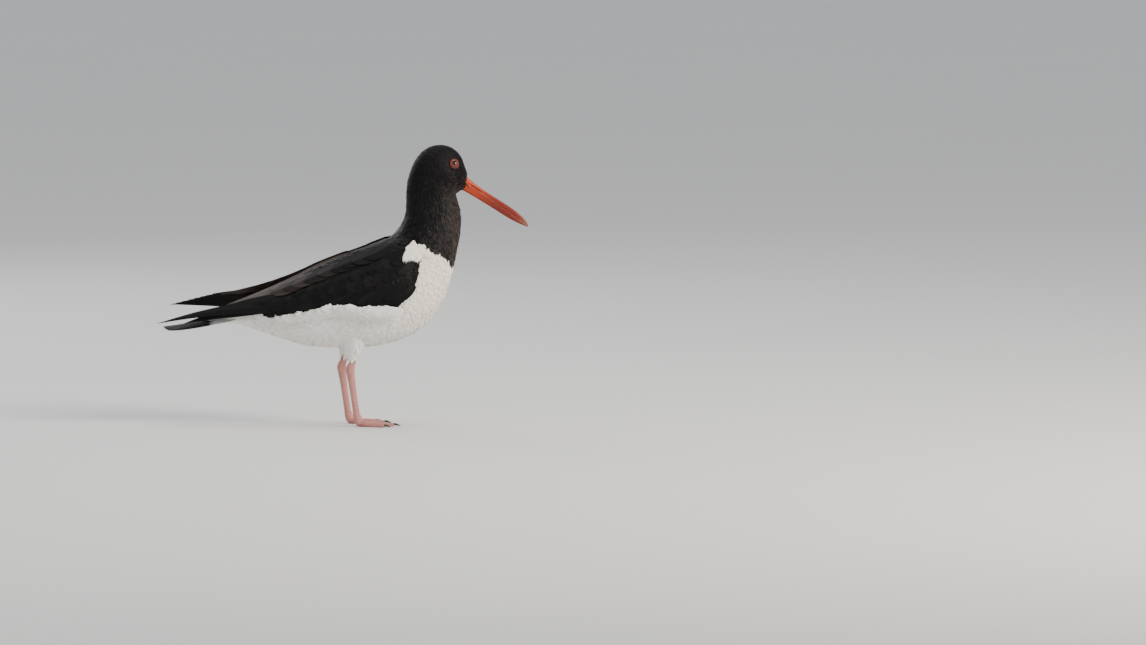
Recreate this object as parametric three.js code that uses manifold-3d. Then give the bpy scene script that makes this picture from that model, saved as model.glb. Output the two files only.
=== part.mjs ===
// An oystercatcher as a still, life-size model: standing, facing +X, its neck up and its bill tipped down.
// Millimetres, +Z up. The origin is on the floor, at the middle of the bird's length.
import * as THREE from "three";
import { mergeVertices } from "three/addons/utils/BufferGeometryUtils.js";
import Module from "manifold-3d";

const wasm = await Module();
wasm.setup();

// Driving dimensions
const gap = 0.3; // clear space between pieces that touch
const billLength = 74;
const billTilt = 33.2; // degrees below level
const billDepth = { base: 13.4, middle: 9.9, nearTip: 7.2, tip: 1.6 };
const billWidth = { base: 8.6, middle: 5.2, nearTip: 3.4, tip: 1.6 };
const billBase = [114.2, 230.7]; // the middle of the bill where the feathers end, in x and z
const billRoot = 5; // sunk into the head
const eyeRadius = 5.6;
const eyeOpening = 4.5; // the radius of the iris that shows
const wingTip = { right: [-175.7, 97.4], left: [-165, 114.2] };
const tailTip = [-170.5, 93];
const tarsusRadius = 2.9;
const ankle = { x: 3, z: 53, radius: 4.3 };
const footJoint = { x: 10, z: 6.2 };
const stance = { right: 4, left: -5, halfSpread: 19 }; // how far each foot is ahead, and half their spread
const toes = [
  { name: "inner", length: 27, turn: -33 },
  { name: "middle", length: 35, turn: -2 },
  { name: "outer", length: 30, turn: 29 },
];

// The trunk from the undertail to the feathers' edge at the bill, as cuts between the back line and the belly
// line. half is half the width, and level is how high the widest line lies, from 0 at the belly to 1.
const cuts = [
  { at: "undertail tip", back: [-120, 105.5], belly: [-120, 98.6], half: 8, level: 0.5 },
  { at: "undertail", back: [-103, 110], belly: [-101, 97.2], half: 14, level: 0.5 },
  { at: "vent", back: [-83, 118.5], belly: [-82, 90.6], half: 22, level: 0.5 },
  { at: "rump", back: [-61, 128], belly: [-60, 83.6], half: 31, level: 0.5 },
  { at: "loins", back: [-41, 138], belly: [-39, 77], half: 38, level: 0.5 },
  { at: "belly", back: [-20, 149], belly: [-14.5, 74.4], half: 43, level: 0.5 },
  { at: "middle back", back: [2, 159], belly: [8.5, 74], half: 46, level: 0.5 },
  { at: "mantle", back: [23, 167.5], belly: [33, 76], half: 47, level: 0.5 },
  { at: "shoulders", back: [40.5, 175.5], belly: [58, 83], half: 46, level: 0.5 },
  { at: "neck foot", back: [50.5, 184], belly: [77, 94.6], half: 42.5, level: 0.48 },
  { at: "breast", back: [56, 192], belly: [93, 114.4], half: 37, level: 0.46 },
  { at: "upper breast", back: [59.2, 200.5], belly: [102, 136.8], half: 31.5, level: 0.46 },
  { at: "lower neck", back: [60.2, 210], belly: [107.8, 162.4], half: 26, level: 0.47 },
  { at: "middle neck", back: [60, 220.4], belly: [112, 186.2], half: 22.4, level: 0.48 },
  { at: "upper neck", back: [60.8, 230], belly: [112.2, 200.4], half: 20.6, level: 0.5 },
  { at: "nape", back: [63.2, 239.4], belly: [108.8, 212], half: 19.8, level: 0.52 },
  { at: "throat", back: [67, 249], belly: [105.9, 218.9], half: 19.6, level: 0.52 },
  { at: "hind crown", back: [73.2, 258.4], belly: [107.6, 221.4], half: 19.4, level: 0.5 },
  { at: "crown", back: [82.6, 264.8], belly: [110.6, 222.9], half: 18.6, level: 0.48 },
  { at: "fore crown", back: [93.1, 266.7], belly: [112.6, 223.4], half: 16.8, level: 0.46 },
  { at: "brow", back: [103.5, 264], belly: [113.8, 223.6], half: 14.6, level: 0.44 },
  { at: "forehead", back: [111.6, 256.6], belly: [114.8, 223.7], half: 11.6, level: 0.42 },
  { at: "lores", back: [115.9, 246.1], belly: [115.6, 223.9], half: 8.2, level: 0.42 },
  { at: "bill edge", back: [118.6, 238], belly: [116.4, 224.3], half: 5.4, level: 0.45 },
];
const roundness = 0.92; // under 1, so that a cut is a little fuller than an ellipse

const { lerp, degToRad } = THREE.MathUtils;

// Solids
function solidOf(positions, triangles) {
  const geometry = new THREE.BufferGeometry();
  const numbers = positions.flatMap((point) => point.toArray());
  geometry.setAttribute("position", new THREE.Float32BufferAttribute(numbers, 3));
  geometry.setIndex(triangles);
  return solidOfGeometry(geometry);
}

function solidOfGeometry(geometry) {
  const bare = geometry.clone();
  bare.deleteAttribute("normal");
  bare.deleteAttribute("uv");
  const merged = mergeVertices(bare, 1e-4);
  const triVerts = new Uint32Array(merged.index.array);
  const vertProperties = new Float32Array(merged.attributes.position.array);
  return new wasm.Manifold(new wasm.Mesh({ numProp: 3, vertProperties, triVerts }));
}

function largestOf(solid) {
  const bodies = solid.decompose();
  return bodies.reduce((best, body) => (body.volume() > best.volume() ? body : best));
}

function union(solids) {
  return solids.reduce((sum, solid) => sum.add(solid));
}

// Joins closed rings of as many points each, from first to last. Quads of the second half of a ring are split
// the other way, so that both faces of a thin blade have the same triangles.
function loft(rings, mirroredSplit = false) {
  const count = rings[0].length;
  const positions = rings.flat();
  const triangles = [];
  for (let i = 0; i + 1 < rings.length; i++) {
    for (let k = 0; k < count; k++) {
      const next = (k + 1) % count;
      const [a, b] = [i * count + k, i * count + next];
      const [c, d] = [a + count, b + count];
      const flip = mirroredSplit && k >= count / 2;
      triangles.push(...(flip ? [a, c, b, b, c, d] : [a, d, b, a, c, d]));
    }
  }
  const middleOf = (ring) => ring.reduce((sum, p) => sum.add(p), new THREE.Vector3()).divideScalar(count);
  const first = positions.push(middleOf(rings[0])) - 1;
  const last = positions.push(middleOf(rings[rings.length - 1])) - 1;
  const lastRing = (rings.length - 1) * count;
  for (let k = 0; k < count; k++) {
    const next = (k + 1) % count;
    triangles.push(first, k, next, last, lastRing + next, lastRing + k);
  }
  const solid = solidOf(positions, triangles);
  return solid.volume() < 0 ? solidOf(positions, turnedOver(triangles)) : solid;
}

function turnedOver(triangles) {
  const turned = [...triangles];
  for (let i = 0; i < turned.length; i += 3) [turned[i + 1], turned[i + 2]] = [turned[i + 2], turned[i + 1]];
  return turned;
}

function box(size, centre, turn = 0) {
  const geometry = new THREE.BoxGeometry(...size);
  geometry.rotateY(turn);
  geometry.translate(...centre);
  return solidOfGeometry(geometry);
}

function ball(radius, centre, steps) {
  const geometry = new THREE.SphereGeometry(radius, steps, Math.round(steps / 2));
  geometry.translate(...centre);
  return solidOfGeometry(geometry);
}

// A tube of round or oval rings along a smooth line. Each point is [x, y, z, radius, radius upwards].
function limb(points, sides = 8, steps = 2) {
  const middles = points.map(([x, y, z]) => new THREE.Vector3(x, y, z));
  const line = new THREE.CatmullRomCurve3(middles, false, "centripetal");
  const rings = [];
  const total = (points.length - 1) * steps;
  for (let i = 0; i <= total; i++) {
    const part = i / total;
    const from = Math.min(Math.floor(i / steps), points.length - 2);
    const mix = i / steps - from;
    const [start, end] = [points[from], points[from + 1]];
    const across = lerp(start[3], end[3], mix);
    const up = lerp(start[4] ?? start[3], end[4] ?? end[3], mix);
    const centre = line.getPoint(part);
    const along = line.getTangent(part);
    const helper = Math.abs(along.z) > 0.8 ? new THREE.Vector3(1, 0, 0) : new THREE.Vector3(0, 0, 1);
    const side = helper.clone().cross(along).normalize();
    const rise = along.clone().cross(side).normalize();
    const ring = [];
    for (let k = 0; k < sides; k++) {
      const turn = (2 * Math.PI * (k + 0.5)) / sides;
      const sideways = centre.clone().addScaledVector(side, across * Math.cos(turn));
      ring.push(sideways.addScaledVector(rise, up * Math.sin(turn)));
    }
    rings.push(ring);
  }
  return loft(rings);
}

// The trunk's surface
const mix4 = (a, b, c, d, t) =>
  0.5 * (2 * b + (c - a) * t + (2 * a - 5 * b + 4 * c - d) * t * t + (3 * b - a - 3 * c + d) * t * t * t);

function cutAt(along) {
  const last = cuts.length - 1;
  const from = Math.min(Math.max(Math.floor(along), 0), last - 1);
  const near = [-1, 0, 1, 2].map((k) => cuts[Math.min(Math.max(from + k, 0), last)]);
  const value = (read) => mix4(...near.map(read), along - from);
  return {
    back: [value((c) => c.back[0]), value((c) => c.back[1])],
    belly: [value((c) => c.belly[0]), value((c) => c.belly[1])],
    half: value((c) => c.half),
    level: value((c) => c.level),
  };
}

// A point of the trunk: along counts the cuts, and round is in degrees from -90 at the belly over the bird's
// right to 90 at the back, and on to 270 round its left.
function surfacePoint(along, round) {
  const cut = cutAt(along);
  const turn = degToRad(round);
  const [c, s] = [Math.cos(turn), Math.sin(turn)];
  const reach = Math.sign(s) * Math.abs(s) ** roundness;
  const height = reach > 0 ? cut.level + (1 - cut.level) * reach : cut.level * (1 + reach);
  return new THREE.Vector3(
    lerp(cut.belly[0], cut.back[0], height),
    -cut.half * Math.sign(c) * Math.abs(c) ** roundness,
    lerp(cut.belly[1], cut.back[1], height),
  );
}

function surfaceNormal(along, round) {
  const ahead = surfacePoint(along + 0.02, round).sub(surfacePoint(along - 0.02, round));
  const up = surfacePoint(along, round + 1).sub(surfacePoint(along, round - 1));
  return ahead.cross(up).normalize();
}

function bodyPoint(along, round, lift = 0) {
  return surfacePoint(along, round).addScaledVector(surfaceNormal(along, round), lift);
}

const ringSides = 28;
function trunk(from, to, stepsPerCut, lift) {
  const rings = [];
  const total = Math.round((to - from) * stepsPerCut);
  for (let i = 0; i <= total; i++) {
    const along = from + (i / total) * (to - from);
    const ring = [];
    for (let k = 0; k < ringSides; k++) {
      ring.push(bodyPoint(along, -90 + (360 * (k + 0.5)) / ringSides, lift));
    }
    rings.push(ring);
  }
  return loft(rings);
}

const lastCut = cuts.length - 1;
const wholeTrunk = trunk(0, lastCut, 2, 0);
const swollenTrunk = trunk(0, lastCut, 2, gap);

// A feather's blade
// Each place along it has a centre, the way across, the way up and half its width.
const vaneThickness = { middle: 1.1, edge: 0.6 };
const vaneDroop = 0.12; // how far the edges lie below the shaft, for each mm of half width
function blade(places, grow = 0) {
  const rings = places.map(({ centre, across, up, half }) => {
    const reach = half + grow;
    const point = (side, height) =>
      centre
        .clone()
        .addScaledVector(across, side * reach)
        .addScaledVector(up, height - vaneDroop * Math.abs(side) * reach);
    const [mid, edge] = [vaneThickness.middle / 2 + grow, vaneThickness.edge / 2 + grow];
    const top = [point(-1, edge), point(0, mid), point(1, edge)];
    return [...top, point(1, -edge), point(0, -mid), point(-1, -edge)];
  });
  return loft(rings, true);
}

const roundTip = [[0, 0.55], [0.4, 1], [0.8, 0.86], [1, 0.28]];
const pointedTip = [[0, 0.6], [0.35, 1], [0.72, 0.8], [0.9, 0.46], [1, 0.12]];

// A vane that lies on the trunk, from one place to another. Each place is [along, round, lift], and its
// underside is a keel, sunk in what it lies on.
const keelDepth = 2.5;
function vaneOnBody(from, to, half, shape = roundTip, side = 1) {
  const place = (t) => [0, 1, 2].map((k) => lerp(from[k], to[k], t));
  const turned = (round) => (side > 0 ? round : 180 - round);
  return loft(
    shape.map(([t, width]) => {
      const [along, round, lift] = place(t);
      const centre = bodyPoint(along, turned(round), lift);
      const up = surfaceNormal(along, turned(round));
      const [nextAlong, nextRound, nextLift] = place(t + 0.02);
      const ahead = bodyPoint(nextAlong, turned(nextRound), nextLift).sub(centre).normalize();
      const across = ahead.cross(up).normalize();
      const point = (sideways, height) =>
        centre.clone().addScaledVector(across, sideways * half * width).addScaledVector(up, height);
      const droop = -vaneDroop * half * width;
      return [point(-1, droop), point(0, 0.3), point(1, droop), point(0, -keelDepth)];
    }),
    true,
  );
}

// A long feather in the open, from its root through a middle point to its tip, leaning from one way up to the
// other.
function longVane(root, middle, tip, half, upRoot, upTip, shape = pointedTip, grow = 0) {
  const line = new THREE.QuadraticBezierCurve3(root, middle, tip);
  return blade(
    shape.map(([t, width]) => {
      const up = upRoot.clone().lerp(upTip, t).normalize();
      const across = line.getTangent(t).cross(up).normalize();
      return { centre: line.getPoint(t), across, up, half: half * width };
    }),
    grow,
  );
}

// Wings
const wingEdge = { low: -17, lowMiddle: 3, lowRear: 18, high: 78 }; // degrees round the trunk
const wingSpan = { rear: 2.1, bend: 10.55, lowFront: 7.7, highFront: 8.3 }; // counted in cuts
const wingThickness = 6.5;
const wingLift = 1.2; // where the wing is thinnest
const wingSteps = { along: 10, round: 7 };

// The lower edge climbs from the bend, runs level and climbs again at the rear. back runs from 0 to 1.
function lowerEdge(back) {
  const climb = Math.sin((Math.PI / 2) * Math.min(back / 0.45, 1)) ** 1.5;
  const rearClimb = Math.max(0, (back - 0.85) / 0.15) ** 2;
  return lerp(wingEdge.low, wingEdge.lowMiddle, climb) + (wingEdge.lowRear - wingEdge.lowMiddle) * rearClimb;
}

function wingPatch(side) {
  const outer = [];
  const inner = [];
  for (let j = 0; j <= wingSteps.round; j++) {
    const up = j / wingSteps.round;
    const bulge = Math.sin(Math.PI * Math.min(up / 0.84, 1)) ** 0.75;
    const front = lerp(wingSpan.lowFront, wingSpan.highFront, up) + (wingSpan.bend - 8) * bulge;
    const [outerRow, innerRow] = [[], []];
    for (let i = 0; i <= wingSteps.along; i++) {
      const back = i / wingSteps.along;
      const along = lerp(front, wingSpan.rear, back);
      const round = lerp(lowerEdge(back), wingEdge.high, up);
      const fullness = Math.min(1, 4 * back) ** 0.5 * Math.min(1, 6 * up, 5 * (1 - up)) ** 0.5;
      const turn = side > 0 ? round : 180 - round;
      outerRow.push(bodyPoint(along, turn, wingLift + wingThickness * fullness));
      innerRow.push(bodyPoint(along, turn, -2));
    }
    outer.push(outerRow);
    inner.push(innerRow.reverse());
  }
  return loft(outer.map((row, j) => [...row, ...inner[j]]));
}

const row = (count, make) => Array.from({ length: count }, (_, i) => make(count > 1 ? i / (count - 1) : 0));
const lerpAll = (from, to, t) => from.map((value, k) => lerp(value, to[k], t));

// Tiers of feathers on the folded wing. root and tip each give the front feather's place and the rear one's,
// as a cut, degrees round the trunk and a lift in mm.
const tiers = [
  {
    name: "lower scapulars", count: 5, half: [10.5, 10.5], shape: roundTip,
    root: [[9, 50, 7], [5.2, 50, 7]], tip: [[7, 44, 10.4], [2.9, 44, 10.4]],
  },
  {
    name: "upper scapulars", count: 4, half: [10, 10], shape: roundTip,
    root: [[8.4, 76, 2.2], [5.2, 76, 2.2]], tip: [[6.5, 70, 6], [3, 70, 6]],
  },
  {
    name: "middle coverts", count: 6, half: [8, 8], shape: roundTip,
    root: [[9.5, 29, 7], [5.2, 29, 7]], tip: [[8.1, 22, 10.2], [3.7, 24, 10.2]],
  },
  {
    name: "greater coverts", count: 7, half: [8, 6], shape: roundTip,
    root: [[9.2, 13, 6.4], [4.6, 15, 6.4]], tip: [[7.4, -3, 9.2], [2.7, 17, 9.2]],
  },
  {
    name: "hand coverts", count: 2, half: [5, 5], shape: pointedTip,
    root: [[9.3, -5, 5.2], [7.8, -3, 5.2]], tip: [[7.3, -9, 6], [5.6, -2, 6]],
  },
  {
    name: "secondaries", count: 4, half: [6, 5.4], shape: roundTip,
    root: [[6, 8, 5], [4.6, 8, 5]], tip: [[4.2, 5, 6.2], [2.4, 10, 6.2]],
  },
];

function tierFeathers(side) {
  return tiers.flatMap(({ count, half, shape, root, tip }) =>
    row(count, (t) => vaneOnBody(lerpAll(...root, t), lerpAll(...tip, t), lerp(...half, t), shape, side)),
  );
}

// Folded flight feathers run back over the tail, from the lowest feather to the highest. tip is the wing
// tip's x and z, and the left wing is held higher.
const primaryCount = 6;
const tertialCount = 5;
function flightFeathers(side, tip) {
  const out = -side;
  const rise = tip[1] - wingTip.right[1];
  const rootOn = (along, round, lift) => bodyPoint(along, side > 0 ? round : 180 - round, lift);
  const up = (tilt) => new THREE.Vector3(0, out * Math.cos(degToRad(tilt)), Math.sin(degToRad(tilt)));
  const primaries = row(primaryCount, (t) => {
    const end = new THREE.Vector3(
      lerp(tip[0], -124, t),
      out * lerp(11, 8, t),
      lerp(tip[1], 108 + rise * 0.98, t),
    );
    const middle = new THREE.Vector3(
      -94,
      out * lerp(25, 18, t),
      lerp(120, 117.5, t) + rise * lerp(-0.12, 0.41, t),
    );
    const root = rootOn(lerp(4, 3.4, t), lerp(6, 20, t), 4.6);
    return longVane(root, middle, end, lerp(4.8, 6, t) + rise * 0.075, up(14), up(45));
  });
  const tertials = row(tertialCount, (t) => {
    const end = new THREE.Vector3(
      lerp(-116, -68, t),
      out * lerp(9, 7, t),
      lerp(112, 128, t) + rise * lerp(0.75, 0.3, t),
    );
    const middle = new THREE.Vector3(
      lerp(-76, -42, t),
      out * lerp(22, 15, t),
      lerp(125, 138.5, t) + rise * 0.12,
    );
    const root = rootOn(lerp(5.2, 6.2, t), lerp(36, 66, t), lerp(6.6, 4.4, t));
    return longVane(root, middle, end, lerp(9, 10.5, t), up(40), up(66), roundTip);
  });
  return [...primaries, ...tertials];
}

function wing(side, tip) {
  return union([wingPatch(side), ...tierFeathers(side), ...flightFeathers(side, tip)]);
}

// Tail
const tailRoot = { x: -84, z: 108.5, half: 8 };
const tailFeathers = 12;
const tailHalf = 15.5; // how far out the outermost tips lie
function tailFan(grow = 0) {
  return row(tailFeathers, (t) => {
    const spread = 2 * t - 1;
    const order = 1 - Math.abs(spread); // the middle pair lies on top
    const [tipX, tipZ] = [tailTip[0] + 5 * spread ** 2, tailTip[1] + 4.2 * order - 2];
    const tip = new THREE.Vector3(tipX, tailHalf * spread, tipZ);
    const root = new THREE.Vector3(tailRoot.x, tailRoot.half * spread, tailRoot.z + 1.5 * order - 1.5);
    const middle = root.clone().lerp(tip, 0.5).add(new THREE.Vector3(0, 3 * spread, -1.5));
    const up = new THREE.Vector3(0.1, 0.42 * spread, 1).normalize();
    return longVane(root, middle, tip, 5.6, up, up, roundTip, grow);
  });
}

// Bill
// A place on the bill: forward along it from the feathers' edge, up square to it, and sideways.
const tilt = degToRad(billTilt);
function onBill(forward, up, sideways) {
  return new THREE.Vector3(
    billBase[0] + forward * Math.cos(tilt) + up * Math.sin(tilt),
    sideways,
    billBase[1] - forward * Math.sin(tilt) + up * Math.cos(tilt),
  );
}

const billShape = [
  { at: -billRoot, depth: billDepth.base, width: billWidth.base * 0.9, sag: 0 },
  { at: 0, depth: billDepth.base, width: billWidth.base, sag: 0 },
  { at: 8, depth: 11.6, width: 7.6, sag: -0.2 },
  { at: 20, depth: 10.2, width: 6.2, sag: -0.3 },
  { at: 38, depth: billDepth.middle, width: billWidth.middle, sag: 0 },
  { at: 54, depth: 9.6, width: 4.6, sag: 0.1 },
  { at: 65, depth: billDepth.nearTip, width: billWidth.nearTip, sag: 0 },
  { at: 71, depth: 4.2, width: 2.4, sag: -0.4 },
  { at: billLength, depth: billDepth.tip, width: billWidth.tip, sag: -1 },
];
const billSides = 16;
function wholeBill(lift) {
  const rings = billShape.map(({ at, depth, width, sag }) => {
    const ring = [];
    for (let k = 0; k < billSides; k++) {
      const turn = (2 * Math.PI * (k + 0.5)) / billSides;
      const [c, s] = [Math.cos(turn), Math.sin(turn)];
      const up = (depth / 2 + lift) * Math.sign(s) * Math.abs(s) ** 0.85 + sag;
      ring.push(onBill(at, up, (width / 2 + lift) * Math.sign(c) * Math.abs(c) ** 0.7));
    }
    return ring;
  });
  return loft(rings);
}

// The line of the mouth is a thin cut that rises a little towards the gape.
const mouthLine = { rootUp: 1.1, tipUp: -0.9 };
function mouthCut() {
  const [from, to] = [onBill(-billRoot - 2, mouthLine.rootUp, 0), onBill(billLength + 2, mouthLine.tipUp, 0)];
  const centre = from.clone().add(to).multiplyScalar(0.5);
  const span = to.clone().sub(from);
  return box([span.length(), 20, gap], centre.toArray(), Math.atan2(-span.z, span.x));
}

const nostril = { at: 12, up: 2.3, wall: 3.4, length: 9, height: 1, depth: 1.1 };
function nostrils() {
  return [-1, 1].map((side) => {
    const centre = onBill(nostril.at, nostril.up, side * nostril.wall);
    return box([nostril.length, 2 * nostril.depth, nostril.height], centre.toArray(), tilt);
  });
}

// Eyes
// The ball sits in the head, and a raised lid rings the part that shows.
const eyeAlong = 19.85; // counted in cuts
const eyeRound = 18;
function eyeFrame(side) {
  const turn = side > 0 ? eyeRound : 180 - eyeRound;
  const out = surfaceNormal(eyeAlong, turn);
  const skin = surfacePoint(eyeAlong, turn);
  const back = Math.sqrt(eyeRadius ** 2 - eyeOpening ** 2);
  const rim = skin.clone().addScaledVector(out, -0.4);
  return { out, rim, centre: skin.addScaledVector(out, -0.3 - back) };
}

function lid(side) {
  const { out, rim } = eyeFrame(side);
  const ring = new THREE.TorusGeometry(eyeOpening + 0.6, 0.9, 4, 14);
  ring.applyQuaternion(new THREE.Quaternion().setFromUnitVectors(new THREE.Vector3(0, 0, 1), out));
  ring.translate(...rim.toArray());
  return solidOfGeometry(ring);
}

function eyeball(side, lift = 0) {
  return ball(eyeRadius + lift, eyeFrame(side).centre.toArray(), 14);
}

// Legs
const thigh = { topX: 11, topZ: 92, topRadius: 12, lowRadius: 6.6, endRadius: 4.6 };
function legLine(side) {
  const ahead = side > 0 ? stance.right : stance.left;
  const y = -side * stance.halfSpread;
  return { ahead, y };
}

function thighSolid(side, lift = 0) {
  const { ahead, y } = legLine(side);
  const joint = [ankle.x + ahead, y, ankle.z];
  const top = [thigh.topX + ahead * 0.4, y * 1.12, thigh.topZ];
  const at = (t, radius) => [...lerpAll(top, joint, t), radius + lift];
  const upper = [at(0, thigh.topRadius), at(0.28, thigh.topRadius * 0.86)];
  return limb([...upper, at(0.56, thigh.lowRadius), at(0.68, thigh.endRadius)], 12);
}

function shankSolid(side) {
  const { ahead, y } = legLine(side);
  const middle = [lerp(ankle.x, footJoint.x, 0.4) + ahead, y, lerp(ankle.z, footJoint.z, 0.4)];
  return limb(
    [
      [ankle.x + 5.5 + ahead, y * 1.04, ankle.z + 17, 3],
      [ankle.x + 2.4 + ahead, y, ankle.z + 8, 3],
      [ankle.x + 0.3 + ahead, y, ankle.z + 1.5, ankle.radius - 0.4, ankle.radius],
      [ankle.x + 0.8 + ahead, y, ankle.z - 5, ankle.radius - 1, ankle.radius - 0.6],
      [...middle, tarsusRadius - 0.3, tarsusRadius + 0.3],
      [footJoint.x - 1 + ahead, y, footJoint.z + 6, tarsusRadius, tarsusRadius + 0.3],
    ],
    10,
  );
}

// A place over the line of a toe: how far out from the foot's joint, and how high.
function onToe(side, toe, reach, z) {
  const { ahead, y } = legLine(side);
  const angle = degToRad(side * -toe.turn);
  return [footJoint.x + ahead + Math.cos(angle) * reach, y + Math.sin(angle) * reach, z];
}

const toeRadius = { root: 3, middle: 2.7, end: 1.9, tip: 1.2 };
function footSolid(side) {
  const { ahead, y } = legLine(side);
  const [x, z] = [footJoint.x + ahead, footJoint.z];
  const heel = limb([
    [x - 1.1, y, z + 6.5, 3.4, 3.6],
    [x, y, z + 2.2, 3.9, 4.2],
    [x + 1.5, y, z - 2.6, 4.6, 4.4],
  ]);
  const digits = toes.map((toe) => {
    const at = (t, height, radius) => [...onToe(side, toe, toe.length * t, height), radius, radius * 0.92];
    return limb([
      at(0, 3.4, toeRadius.root),
      at(0.45, 2, toeRadius.middle),
      at(0.9, 1.5, toeRadius.end),
      at(1, 1.4, toeRadius.tip),
    ]);
  });
  const below = box([140, 140, 20], [x, y, -10]);
  return union([heel, ...digits, webSolid(side)]).subtract(below);
}

// A short web joins the middle and outer toes at their roots.
const web = { from: 0.08, to: 0.32, low: 0.6, topRoot: 2.4, topEnd: 1.8 }; // shares of the toes, and heights
function webSolid(side) {
  const [, middle, outer] = toes;
  const edge = (t, top) =>
    [[middle, top], [outer, top], [outer, web.low], [middle, web.low]].map(
      ([toe, z]) => new THREE.Vector3(...onToe(side, toe, toe.length * t, z)),
    );
  return loft([edge(web.from, web.topRoot), edge(web.to, web.topEnd)]);
}

const footTop = footJoint.z + 5; // the height where the shank ends and the foot begins
const clawLength = 7.2;
const clawSink = 1.5; // how far the claw's root lies in the toe
function clawSolid(side, toe, lift = 0) {
  const root = toe.length - clawSink - lift;
  const at = (reach, z, radius) => [...onToe(side, toe, root + reach, z), radius + lift];
  const thick = [at(0, 2.1, 1.15), at(3, 2, 1.05)];
  return limb([...thick, at(0.75 * clawLength, 1.3, 0.7), at(clawLength, 0.5, 0.3)], 6);
}

// A solid's faces, with points nearer than the weld joined, so that a cut leaves no sliver.
const weld = 0.01;
function welded(solid) {
  const { vertProperties, triVerts, numProp } = solid.getMesh();
  const geometry = new THREE.BufferGeometry();
  const positions = new Float32Array((vertProperties.length / numProp) * 3);
  for (let i = 0; i * numProp < vertProperties.length; i++)
    positions.set(vertProperties.subarray(i * numProp, i * numProp + 3), i * 3);
  geometry.setAttribute("position", new THREE.BufferAttribute(positions, 3));
  geometry.setIndex(new THREE.BufferAttribute(triVerts, 1));
  const joined = mergeVertices(geometry, weld);
  const index = joined.index.array;
  const kept = [];
  for (let i = 0; i < index.length; i += 3) {
    const [a, b, c] = index.slice(i, i + 3);
    if (a !== b && b !== c && c !== a) kept.push(a, b, c);
  }
  joined.setIndex(kept);
  return joined;
}

// The bird's pieces
const colours = {
  black: 0x16130f,
  white: 0xe8e4dc,
  bill: 0xd9481c,
  iris: 0xc0401c,
  leg: 0xc98a84,
  claw: 0x2a2624,
};
const bird = new THREE.Group();
function addPiece(name, solid, colour, roughness) {
  const geometry = welded(largestOf(solid));
  geometry.computeVertexNormals();
  const finish = new THREE.MeshStandardMaterial({ color: colour, roughness, metalness: 0 });
  const mesh = new THREE.Mesh(geometry, finish);
  mesh.name = name;
  bird.add(mesh);
}

// A thin slab that parts the trunk at a cut's plane.
function slabAt(along) {
  const { back, belly } = cutAt(along);
  const lean = Math.atan2(back[1] - belly[1], back[0] - belly[0]);
  const centre = [(back[0] + belly[0]) / 2, 0, (back[1] + belly[1]) / 2];
  return box([160, 160, gap], centre, -lean);
}

const splits = { tail: 1.15, neck: 11.5, head: 15.3 };
const parts = wholeTrunk
  .subtract(union([slabAt(splits.tail), slabAt(splits.neck), slabAt(splits.head)]))
  .decompose()
  .sort((a, b) => a.boundingBox().min[0] - b.boundingBox().min[0]);
const [tailBase, torsoWhole, neckWhole, headWhole] = parts;
const sides = [
  { name: "right", side: 1 },
  { name: "left", side: -1 },
];

const billGap = wholeBill(gap);
const eyeHoles = union(sides.map(({ side }) => eyeball(side, gap)));
const lids = union(sides.map(({ side }) => lid(side)));
addPiece("head", headWhole.add(lids).subtract(eyeHoles).subtract(billGap), colours.black, 0.6);
addPiece("neck", neckWhole, colours.black, 0.6);
addPiece("torso", torsoWhole, colours.white, 0.7);

const bill = wholeBill(0).subtract(union(nostrils()));
const [billLower, billUpper] = bill
  .subtract(mouthCut())
  .decompose()
  .sort((a, b) => a.boundingBox().max[2] - b.boundingBox().max[2]);
addPiece("bill_upper", billUpper, colours.bill, 0.4);
addPiece("bill_lower", billLower, colours.bill, 0.4);

const tailSlab = slabAt(splits.tail);
const swollenTorso = largestOf(swollenTrunk.subtract(tailSlab));
const tailWhole = union([tailBase, ...tailFan()]);
addPiece("tail", tailWhole.subtract(swollenTorso).subtract(tailSlab), colours.black, 0.6);

const tailRoom = union(tailFan(gap));
const otherHalf = (side) => box([500, 100, 400], [0, side * (50 - gap / 2), 150]);
for (const { name, side } of sides) {
  const folded = wing(side, wingTip[name]).subtract(swollenTrunk).subtract(tailRoom);
  addPiece("wing_" + name, folded.subtract(otherHalf(side)), colours.black, 0.6);
  addPiece("eye_" + name, eyeball(side), colours.iris, 0.15);
  addPiece("thigh_" + name, thighSolid(side).subtract(swollenTrunk), colours.white, 0.7);
  const belowShank = box([200, 200, 40], [0, 0, footTop - 20 + gap]);
  const shank = shankSolid(side).subtract(thighSolid(side, gap)).subtract(belowShank);
  addPiece("shank_" + name, shank, colours.leg, 0.5);
  const claws = toes.map((toe) => clawSolid(side, toe, gap));
  const aboveFoot = box([200, 200, 40], [0, 0, footTop + 20]);
  const foot = footSolid(side).subtract(aboveFoot).subtract(union(claws));
  addPiece("foot_" + name, foot, colours.leg, 0.5);
  for (const toe of toes) addPiece(`claw_${toe.name}_${name}`, clawSolid(side, toe), colours.claw, 0.4);
}

export default bird;
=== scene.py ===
# An oystercatcher at life size, dressed in feathers over the solid model.
import math

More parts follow.
